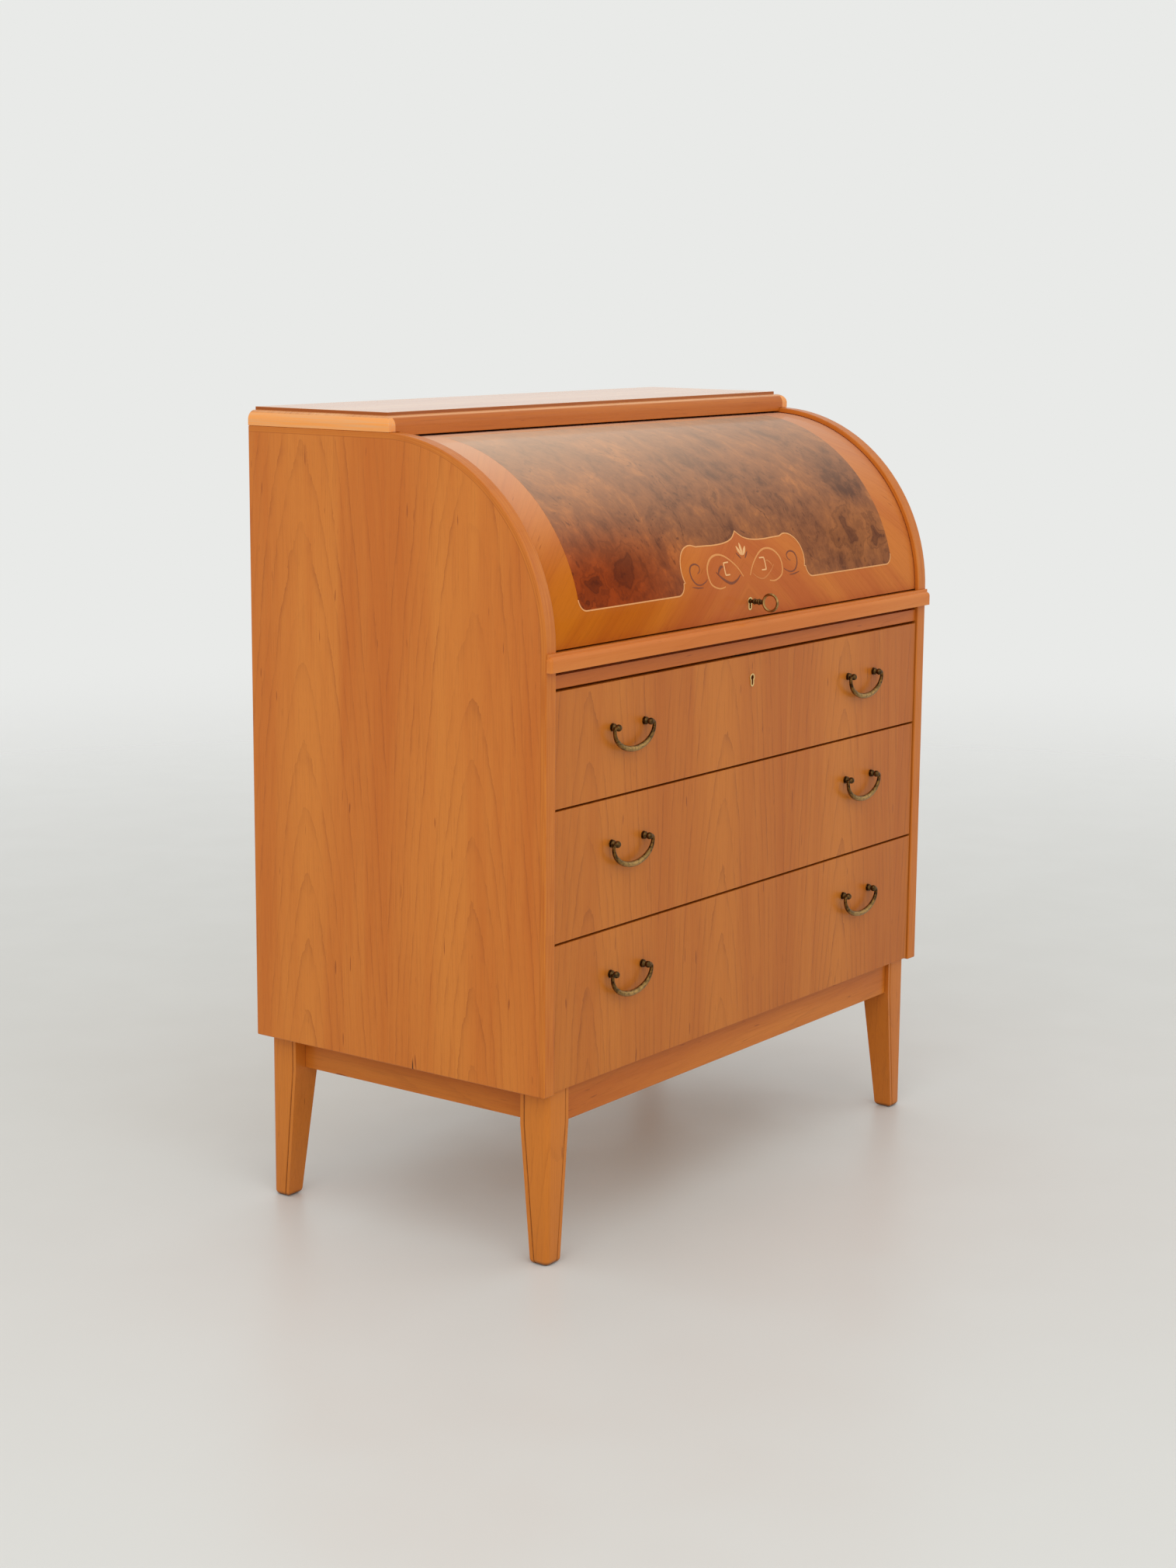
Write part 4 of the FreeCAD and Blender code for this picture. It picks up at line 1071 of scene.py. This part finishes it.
class DESK_OT_base(bpy.types.Operator):
    """Finishes the base frame: legs, aprons and corner blocks"""

    bl_idname = "desk.base"
    bl_label = "Base"

    def execute(self, context):
        woods = context.scene.desk_woods
        solid = woods.tones("solid")
        upright = leg_wood("leg_wood", solid, woods.dirt_and_shade)
        for row, inward in (("front", 1), ("back", -1)):
            for side, outward in SIDES.items():
                self.leg(f"{row}_{side}_leg", -outward, inward, upright)
        cross = board("apron_wood", solid, "Z", "X", lines=SOLID_LINES)
        softened("front_apron", cross, FRAME_EASE)
        softened("back_apron", cross, FRAME_EASE)
        softened("side_aprons", board("side_apron_wood", solid, "Z", "Y", lines=SOLID_LINES), FRAME_EASE)
        dress(board("block_wood", woods.tones("inner"), "Y", "X"), "frame_blocks")
        return {"FINISHED"}

    def leg(self, node, inward_x, inward_y, material):
        """A leg as its solid stands, tapered on its inner faces, with grooves and a rounded foot."""
        low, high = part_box(node)
        foot = [vert.co.x for vert in NODES[node].data.vertices if vert.co.z < low.z + WELD]
        foot_size, whole_size = max(foot) - min(foot), high.x - low.x
        corner_x = low.x if inward_x > 0 else high.x
        corner_y = low.y if inward_y > 0 else high.y
        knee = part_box("front_apron")[0].z
        shaper = bmesh.new()
        layer = shaper.verts.layers.float.new("darkened")
        rings = []
        for z in (*(FOOT_ROUND * share for share in FOOT_LEVELS), knee, high.z):
            size = foot_size + (whole_size - foot_size) * min(z / knee, 1.0)
            bare = max(1 - z / FOOT_ROUND, 0.0)
            inset = FOOT_ROUND * (1 - math.sqrt(1 - bare ** 2))
            shrink = 1 - 2 * inset / size
            ring = []
            for x, y, dirt_and_shade in leg_section(size):
                across = size / 2 + (x - size / 2) * shrink
                deep = size / 2 + (y - size / 2) * shrink
                vert = shaper.verts.new((corner_x + inward_x * across, corner_y + inward_y * deep, z))
                # Painted shade and dirt in the grooves, and darker towards the foot
                vert[layer] = max(dirt_and_shade, bare)
                ring.append(vert)
            rings.append(ring)
        join_rings(shaper, rings)
        stand_in(node, "wood", shaper, material)


FRONT_LEAF, FRONT_SHIFT = 0.295, 0.2075


class DESK_OT_drawers(bpy.types.Operator):
    """Veneers the large drawers and finishes their boxes"""

    bl_idname = "desk.drawers"
    bl_label = "Drawers"

    def execute(self, context):
        woods = context.scene.desk_woods
        inner = woods.tones("inner")
        # Drawer fronts darker than the case, partly painted shade
        fronts = board(
            "drawer_veneer_wood", woods.tones("drawer"), "X", "Z", face=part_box("drawer_1_front")[0].y,
            leaf=FRONT_LEAF, lines=BOLD_LINES, shift=FRONT_SHIFT,
        )
        cheeks = board("drawer_side_wood", inner, "Z", "Y", lines=BOX_LINES)
        backs = board("drawer_back_wood", inner, "Z", "X", lines=BOX_LINES)
        floors = board("drawer_bottom_ply", inner, "Y", "X")
        for number in DRAWERS:
            softened(f"drawer_{number}_front", fronts, FRONT_EASE)
            softened(f"drawer_{number}_sides", cheeks, BOX_EASE)
            softened(f"drawer_{number}_back", backs, BOX_EASE)
            dress(floors, f"drawer_{number}_bottom")
        return {"FINISHED"}


# Turning of a small knob, as shares of its reach and of its radius, and where its ball opens
KNOB_FOOT_END, KNOB_NECK_START = 0.08, 0.14
KNOB_FOOT, KNOB_NECK = 0.6, 0.42
KNOB_OPENING = 28
KNOB_ROUGHNESS = 0.3


class DESK_OT_inside(bpy.types.Operator):
    """Finishes the writing board and the fitting behind the lid"""

    bl_idname = "desk.inside"
    bl_label = "Inside"

    def execute(self, context):
        woods = context.scene.desk_woods
        brass = context.scene.desk_brass
        case = woods.tones("case")
        flat = board("inner_flat", case, "Y", "X", lines=CALM_LINES)
        upright = board("inner_upright", case, "Y", "Z", lines=CALM_LINES)
        for node in ("writing_board", "interior_floor", "interior_roof"):
            softened(node, flat, BOARD_EASE)
        for node in ("interior_gables", "interior_partitions"):
            softened(node, upright, BOARD_EASE)
        back = board("inner_back", woods.tones("inner"), "X", "Z", lines=CALM_LINES)
        softened("interior_back", back, SHEET_EASE)
        boxes = board("small_drawer_wood", case, "Z", "X", lines=CALM_LINES)
        knobs = metal("knob_brass", brass.worn, brass.aged, KNOB_ROUGHNESS)
        for side in SIDES:
            softened(f"small_drawer_{side}", boxes, BOARD_EASE)
            self.knob(f"small_drawer_{side}_knob", knobs)
        return {"FINISHED"}

    def knob(self, node, material):
        """A turned knob with a foot, a neck and a ball."""
        low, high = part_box(node)
        middle = (low + high) / 2
        reach, radius = high.y - low.y, (high.x - low.x) / 2
        foot, neck = KNOB_FOOT * radius, KNOB_NECK * radius
        profile = [(0, foot), (KNOB_FOOT_END * reach, foot), (KNOB_NECK_START * reach, neck)]
        profile += ball(radius, reach - radius, KNOB_OPENING)
        shaper = bmesh.new()
        turned(shaper, profile, Vector((middle.x, high.y, middle.z)), FORWARD)
        stand_in(node, "turned", shaper, material)


class DESK_OT_lid(bpy.types.Operator):
    """Veneers the curved lid: banding, burl and stringing"""

    bl_idname = "desk.lid"
    bl_label = "Lid"

    def execute(self, context):
        woods = context.scene.desk_woods
        sizes = context.scene.desk_marquetry
        border = (woods.border_light, woods.border_middle, woods.case_line)
        softened("lid_panel", banding("lid_banding", border, woods.sheen_and_bleach), BOX_EASE)
        outline = burl_outline(sizes)
        figured = burl("lid_burl", woods.burl_dark, woods.burl_brown, woods.burl_gold, woods.sheen_and_bleach)
        finished("burl_veneer", veneer_sheet(outline, sizes.lift), figured, "lid")
        pale = inlay_wood("stringing_wood", woods.stringing, woods.case_middle)
        shaper = bmesh.new()
        ribbon(shaper, outline, [sizes.stringing_width] * len(outline), 2 * sizes.lift, closed=True)
        finished("burl_stringing", shaper, pale, "lid")
        return {"FINISHED"}


# Marquetry of the cartouche's right half on the unrolled lid, in millimetres
LOOP = (
    (8, 55), (20, 69.5), (39.7, 83), (57, 87.3), (73, 84),
    (84.5, 74), (87, 62), (82, 50), (66, 43.8), (52, 44.8),
)
SCROLL = (
    (109.6, 66.5), (103.8, 69.8), (103.1, 75.6), (110.9, 79.2), (120.7, 77.2), (125, 70.2),
    (123.4, 61.3), (116, 53.9), (106, 51.9), (96, 54.4), (90, 57.5),
)
SCROLL_FOOT = ((101, 48.2), (113, 48.6), (126, 50.8))
CRESCENT = ((67.8, 65.2), (59, 58), (47.3, 51.3), (36.6, 48.4), (24.3, 51.2), (14.2, 57.5))
CURL = ((63.5, 62.5), (60.3, 67.2), (54.1, 71.2), (49.9, 70.2))
HOOK = ((36.5, 75.8), (45.5, 75.6), (47.4, 73.8), (47.6, 61.4), (45.6, 59.7), (37.5, 59.7))
PETALS = (
    ((0, 82), (0, 91), (0, 99)),
    ((-1.5, 82.3), (-5.8, 88.5), (-9, 95.4)),
    ((1.5, 82.3), (6.6, 88), (11, 93.8)),
)
FLOWER_LEAF = ((-13, 86.5), (-9, 82.5), (-4.5, 78))
# Layers of the marquetry, as shares of the lift
LOW_LAYER, MIDDLE_LAYER, HIGH_LAYER = 1.0, 1.6, 2.2


class DESK_OT_marquetry(bpy.types.Operator):
    """Lays the scrolls and the flower of the cartouche"""

    bl_idname = "desk.marquetry"
    bl_label = "Marquetry"

    def execute(self, context):
        woods = context.scene.desk_woods
        sizes = context.scene.desk_marquetry
        pale = inlay_wood("pale_inlay_wood", woods.pale_inlay, woods.case_middle)
        dark = inlay_wood("dark_inlay_wood", woods.dark_inlay, woods.burl_dark)
        bone = inlay_wood("bone_inlay_wood", woods.bone_inlay, woods.stringing)
        faint = inlay_wood("faint_inlay_wood", woods.faint_inlay, woods.border_middle)
        wide, slim = sizes.ribbon_width, sizes.scroll_width
        # Name, wood, layer, lines, width and how thin the ends are
        strokes = (
            ("pale_scrolls", pale, LOW_LAYER, paired(LOOP), wide, 0.5),
            ("dark_scrolls", dark, LOW_LAYER, paired(SCROLL), slim, 0.35),
            ("scroll_feet", dark, LOW_LAYER, paired(SCROLL_FOOT), 0.7 * slim, 0.3),
            ("dark_crescent", dark, MIDDLE_LAYER, [mirrored(CRESCENT), mirrored(CURL)], 1.5 * slim, 0.3),
            ("pale_crescent", faint, MIDDLE_LAYER, [CRESCENT, CURL], 0.8 * slim, 0.3),
            ("bone_hooks", bone, HIGH_LAYER, paired(HOOK), 0.9 * slim, 0.8),
            ("flower_petals", bone, HIGH_LAYER, PETALS, sizes.petal_width, 0.12),
            ("flower_leaves", dark, LOW_LAYER, paired(FLOWER_LEAF), slim, 0.2),
        )
        for name, material, layer, lines, width, thin in strokes:
            shaper = bmesh.new()
            for points in lines:
                line = smooth_line(millimetres(*points))
                ribbon(shaper, line, tapered(line, width, thin), layer * sizes.lift)
            finished(name, shaper, material, "lid")
        return {"FINISHED"}


# Turning of a handle's post: a peg in the drawer, a foot, a collar and a ball
PEG_DEPTH, PEG_SHARE = 0.004, 0.5
FOOT_RISE, FOOT_SWELL = 0.0006, 1.04
COLLAR = {"centre": 0.0031, "reach": 0.0021, "base": 0.0026, "swell": 0.0022, "start": 20, "end": 152}
POST_OPENING, POST_RUB = 38, 0.12
# A handle's bow: how its ends sit in the posts, its steps, its swell and where hands rub it
BOW_SEAT, BOW_PIN = 0.0006, 0.0018
BOW_STEPS, BEND_STEPS = 40, 6
SWELL_POWER, RUB_POWER = 1.4, 2
MIDDLE_RUB, END_RUB = 0.75, 0.05


class DESK_OT_handles(bpy.types.Operator):
    """Makes the drop handles: turned posts and tapered bows"""

    bl_idname = "desk.handles"
    bl_label = "Handles"

    def execute(self, context):
        brass = context.scene.desk_brass
        material = aged_brass("handle_brass", brass.dark, brass.aged, brass.worn)
        dark = aged_brass("post_brass", brass.dark, brass.post, brass.worn)
        for number in DRAWERS:
            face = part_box(f"drawer_{number}_front")[0].y
            posts = bmesh.new()
            for side in SIDES:
                node = f"drawer_{number}_{side}_bail"
                pivot = Vector(JOINTS[f"{node}_swing"]["pos_m"])
                for end in SIDES.values():
                    self.post(posts, brass, pivot + Vector((end * brass.spread / 2, 0, 0)), face)
                bow = bmesh.new()
                self.bow(bow, brass, pivot)
                stand_in(node, "bow", bow, material)
            stand_in(f"drawer_{number}_handle_posts", "turned", posts, dark)
        return {"FINISHED"}

    def post(self, shaper, brass, pivot, face):
        """A turned post with a peg in the drawer, a foot, a collar and a ball."""
        foot = brass.foot
        peg = PEG_SHARE * foot
        profile = [(-PEG_DEPTH, peg), (0, peg), (0, foot)]
        profile += [(FOOT_RISE, FOOT_SWELL * foot), (2 * FOOT_RISE, foot)]
        profile += bead(**COLLAR)
        profile += ball(brass.head, face - pivot.y, POST_OPENING)
        turned(shaper, profile, Vector((pivot.x, face, pivot.z)), FORWARD, rubbed=POST_RUB)

    def bow(self, shaper, brass, pivot):
        """A bow that swells to its middle, its ends bent in to the posts."""
        inner = brass.spread / 2 + brass.head - BOW_SEAT
        half = inner + brass.bend
        end = [(inner - BOW_PIN, 0.0)]
        for step in range(BEND_STEPS + 1):
            angle = math.radians(90 * step / BEND_STEPS)
            end.append((inner + brass.bend * math.sin(angle), brass.bend * (math.cos(angle) - 1)))
        stations = [(-x, z, brass.end_radius, END_RUB) for x, z in end]
        for step in range(1, BOW_STEPS):
            angle = math.pi * (1 + step / BOW_STEPS)
            swell = math.sin(math.pi * step / BOW_STEPS)
            radius = brass.end_radius + (brass.middle_radius - brass.end_radius) * swell ** SWELL_POWER
            x, z = half * math.cos(angle), brass.bow_depth * math.sin(angle) - brass.bend
            stations.append((x, z, radius, MIDDLE_RUB * swell ** RUB_POWER))
        stations += [(x, z, brass.end_radius, END_RUB) for x, z in reversed(end)]
        path = [pivot + Vector((x, 0, z)) for x, z, radius, rub in stations]
        radii = [radius for x, z, radius, rub in stations]
        rubs = [rub for x, z, radius, rub in stations]
        bowed(shaper, path, radii, rubs, FORWARD)


RIM_ROUGHNESS, STEEL_ROUGHNESS, NAIL_ROUGHNESS = 0.28, 0.42, 0.5
# The key: wire of its ring as a share of its width, its shank with beads, and its bit
KEY_WIRE, RING_STEPS, RING_RUB = 0.235, 48, 0.7
SHANK_RADIUS, SHANK_RUB = 0.0025, 0.1
SHANK_TIP, SHANK_TIP_SHARE = 0.0004, 0.8
BIT_HALF, BIT_LONG, BIT_DROP = 0.0012, 0.007, 0.008
# Beads of the shank: distance from the ring, radius, and half their length
SHANK_BEADS = (
    (0.0030, 0.0033, 0.0016),
    (0.0062, 0.0041, 0.0018),
    (0.0098, 0.0034, 0.0016),
    (0.0130, 0.0040, 0.0014),
)


class DESK_OT_locks(bpy.types.Operator):
    """Makes the key and finishes the keyhole rims, locks and cord fittings"""

    bl_idname = "desk.locks"
    bl_label = "Locks"

    def execute(self, context):
        brass = context.scene.desk_brass
        rims = metal("rim_brass", brass.bright, brass.worn, RIM_ROUGHNESS)
        for node in ("lid_escutcheon", "drawer_escutcheon"):
            softened(node, rims, RIM_EASE)
        steel = metal("lock_steel", brass.steel, brass.steel_stain, STEEL_ROUGHNESS)
        dress(steel, "lid_lock_case", "lid_lock_bolt", "drawer_lock_case")
        dress(steel, "lid_cord_pins", "slide_cord_hooks", "cord_pegs")
        self.key(aged_brass("key_brass", brass.dark, brass.post, brass.worn))
        return {"FINISHED"}

    def key(self, material):
        """The key's ring, its shank with beads, and its bit."""
        low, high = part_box("key")
        pivot = Vector(JOINTS["key_turn"]["pos_m"])
        outer = high.z - pivot.z
        wire = (high.x - low.x) * KEY_WIRE
        radius = outer - wire
        middle = Vector((0, low.y + outer, pivot.z))
        shaper = bmesh.new()
        path = []
        for step in range(RING_STEPS):
            angle = 2 * math.pi * step / RING_STEPS
            path.append(middle + Vector((0, radius * math.cos(angle), radius * math.sin(angle))))
        wires, rubs = [wire] * RING_STEPS, [RING_RUB] * RING_STEPS
        bowed(shaper, path, wires, rubs, RIGHTWARD, closed=True)
        start = middle.y + radius
        whole = high.y - start
        profile = [(0, SHANK_RADIUS)]
        for centre, swell, reach in SHANK_BEADS:
            profile += bead(centre, reach, SHANK_RADIUS, swell - SHANK_RADIUS)
        profile += [(whole - SHANK_TIP, SHANK_RADIUS), (whole, SHANK_TIP_SHARE * SHANK_RADIUS)]
        turned(shaper, profile, Vector((0, start, pivot.z)), BACKWARD, rubbed=SHANK_RUB)
        deep, tall = (high.y - BIT_LONG, high.y), (pivot.z - BIT_DROP, pivot.z)
        corners = [(x, y, z) for x in (-BIT_HALF, BIT_HALF) for y in deep for z in tall]
        bit = bmesh.ops.create_cube(shaper, size=1)["verts"]
        for vert, corner in zip(bit, corners):
            vert.co = corner
        stand_in("key", "turned", shaper, material)


# Nails of the back: distance from its edges, spacing, and their heads as shares of stand and radius
NAIL_INSET, NAIL_SPACING, NAIL_RADIUS, NAIL_SIDES = 0.006, 0.09, 0.0026, 10
NAIL_RIM, NAIL_SHOULDER, NAIL_CROWN, NAIL_TIP = 0.6, 0.9, 0.7, 0.0001


class DESK_OT_back_nails(bpy.types.Operator):
    """Sets the row of small nails that hold the back panel"""

    bl_idname = "desk.back_nails"
    bl_label = "Back nails"

    def execute(self, context):
        brass = context.scene.desk_brass
        low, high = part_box("back_panel")
        columns = round((high.x - low.x) / NAIL_SPACING)
        rows = round((high.z - low.z) / NAIL_SPACING)
        spots = []
        for column in range(columns + 1):
            x = low.x + NAIL_INSET + (high.x - low.x - 2 * NAIL_INSET) * column / columns
            spots += [(x, low.z + NAIL_INSET), (x, high.z - NAIL_INSET)]
        for row in range(1, rows):
            z = low.z + NAIL_INSET + (high.z - low.z - 2 * NAIL_INSET) * row / rows
            spots += [(low.x + NAIL_INSET, z), (high.x - NAIL_INSET, z)]
        profile = [
            (0, NAIL_RADIUS),
            (NAIL_RIM * NAIL_STAND, NAIL_RADIUS),
            (NAIL_SHOULDER * NAIL_STAND, NAIL_CROWN * NAIL_RADIUS),
            (NAIL_STAND, NAIL_TIP),
        ]
        shaper = bmesh.new()
        for x, z in spots:
            turned(shaper, profile, Vector((x, high.y - NAIL_STAND, z)), BACKWARD, sides=NAIL_SIDES)
        steel = metal("nail_steel", brass.nail, brass.nail_stain, NAIL_ROUGHNESS)
        finished("back_panel_nails", shaper, steel, "carcass")
        return {"FINISHED"}


LAMP_AIM = Vector((0, 0, 0.55))
FLOOR_SIDES, FLOOR_SPECULAR = 96, 0.5
FLOOR_NOISE, FLOOR_ROUGHNESS = (6, 4), (0.3, 0.7, 0.36, 0.46)


class DESK_OT_stage(bpy.types.Operator):
    """Sets the floor, the light and the camera"""

    bl_idname = "desk.stage"
    bl_label = "Stage"

    def execute(self, context):
        stage = context.scene.desk_stage
        context.scene.view_settings.view_transform = "Standard"
        self.ground(stage)
        self.room(context, stage)
        self.lamp("key_light", stage.key_at, stage.key_size, stage.key_power)
        self.lamp("fill_light", stage.fill_at, stage.fill_size, stage.fill_power)
        camera = bpy.data.cameras.new("photo_view")
        camera.lens = stage.lens
        holder = bpy.data.objects.new("photo_view", camera)
        context.scene.collection.objects.link(holder)
        pitch, roll, heading = stage.camera_turn
        turns = [Euler(turn).to_matrix() for turn in ((0, 0, heading), (pitch, 0, 0), (0, 0, roll))]
        holder.matrix_world = (turns[0] @ turns[1] @ turns[2]).to_4x4()
        holder.location = stage.camera_at
        context.scene.camera = holder
        return {"FINISHED"}

    def room(self, context, stage):
        """Even light all round, and a pale backdrop where the eye or a reflection meets it."""
        world = bpy.data.worlds.new("room")
        context.scene.world = world
        world.use_nodes = True
        nodes, links = world.node_tree.nodes, world.node_tree.links
        light = nodes["Background"]
        light.inputs["Color"].default_value = (1, 1, 1, 1)
        light.inputs["Strength"].default_value = stage.sky
        seen = nodes.new("ShaderNodeBackground")
        seen.inputs["Color"].default_value = stage.wall
        rays = nodes.new("ShaderNodeLightPath")
        share = rays.outputs["Is Camera Ray"]
        for kind in ("Is Glossy Ray", "Is Transmission Ray"):
            either = nodes.new("ShaderNodeMath")
            either.operation = "MAXIMUM"
            links.new(share, either.inputs[0])
            links.new(rays.outputs[kind], either.inputs[1])
            share = either.outputs[0]
        blend = nodes.new("ShaderNodeMixShader")
        links.new(share, blend.inputs[0])
        links.new(light.outputs[0], blend.inputs[1])
        links.new(seen.outputs[0], blend.inputs[2])
        links.new(blend.outputs[0], nodes["World Output"].inputs["Surface"])

    def ground(self, stage):
        """A round pale floor that fades into the backdrop."""
        finish = Finish("floor_paint", specular=FLOOR_SPECULAR)
        point = finish.parted(finish.where())
        grain = finish.noise(finish.spot(point["X"], point["Y"]), *FLOOR_NOISE)
        finish.roughen(finish.ease(grain, *FLOOR_ROUGHNESS))
        finish.paint(stage.floor)
        away = finish.hypotenuse(point["X"], point["Y"])
        fade = finish.ease(away, stage.floor_clear, stage.floor_end, 1.0, 0.0)
        finish.feed(finish.shader.inputs["Alpha"], fade)
        shaper = bmesh.new()
        bmesh.ops.create_circle(shaper, cap_ends=True, segments=FLOOR_SIDES, radius=stage.floor_end)
        mesh = bpy.data.meshes.new("floor")
        shaper.to_mesh(mesh)
        shaper.free()
        mesh.materials.append(finish.material)
        floor = bpy.data.objects.new("floor", mesh)
        bpy.context.scene.collection.objects.link(floor)

    def lamp(self, name, at, size, power):
        """A square soft light that looks at the desk's middle."""
        light = bpy.data.lights.new(name, "AREA")
        light.energy = power
        light.size = size
        lamp = bpy.data.objects.new(name, light)
        bpy.context.scene.collection.objects.link(lamp)
        lamp.location = at
        lamp.visible_camera = False
        aim = LAMP_AIM - lamp.location
        lamp.rotation_euler = aim.to_track_quat("-Z", "Y").to_euler()


GROUPS = {
    "desk_woods": DeskWoods,
    "desk_marquetry": DeskMarquetry,
    "desk_brass": DeskBrass,
    "desk_stage": DeskStage,
}
OPERATORS = (
    DESK_OT_case, DESK_OT_base, DESK_OT_drawers, DESK_OT_inside, DESK_OT_lid, DESK_OT_marquetry,
    DESK_OT_handles, DESK_OT_locks, DESK_OT_back_nails, DESK_OT_stage,
)


class DESK_PT_panel(bpy.types.Panel):
    """Lists the steps that finish the desk"""

    bl_idname = "DESK_PT_panel"
    bl_label = "Secretary desk"
    bl_space_type = "VIEW_3D"
    bl_region_type = "UI"
    bl_category = "Desk"

    def draw(self, context):
        for operator in OPERATORS:
            self.layout.operator(operator.bl_idname)


def register():
    for item in (*GROUPS.values(), *OPERATORS, DESK_PT_panel):
        bpy.utils.register_class(item)
    for name, group in GROUPS.items():
        setattr(bpy.types.Scene, name, bpy.props.PointerProperty(type=group))


def unregister():
    for name in GROUPS:
        delattr(bpy.types.Scene, name)
    for item in (DESK_PT_panel, *reversed(OPERATORS), *reversed(GROUPS.values())):
        bpy.utils.unregister_class(item)


def main():
    register()
    for operator in OPERATORS:
        group, name = operator.bl_idname.split(".")
        getattr(getattr(bpy.ops, group), name)()


if __name__ == "__main__":
    main()
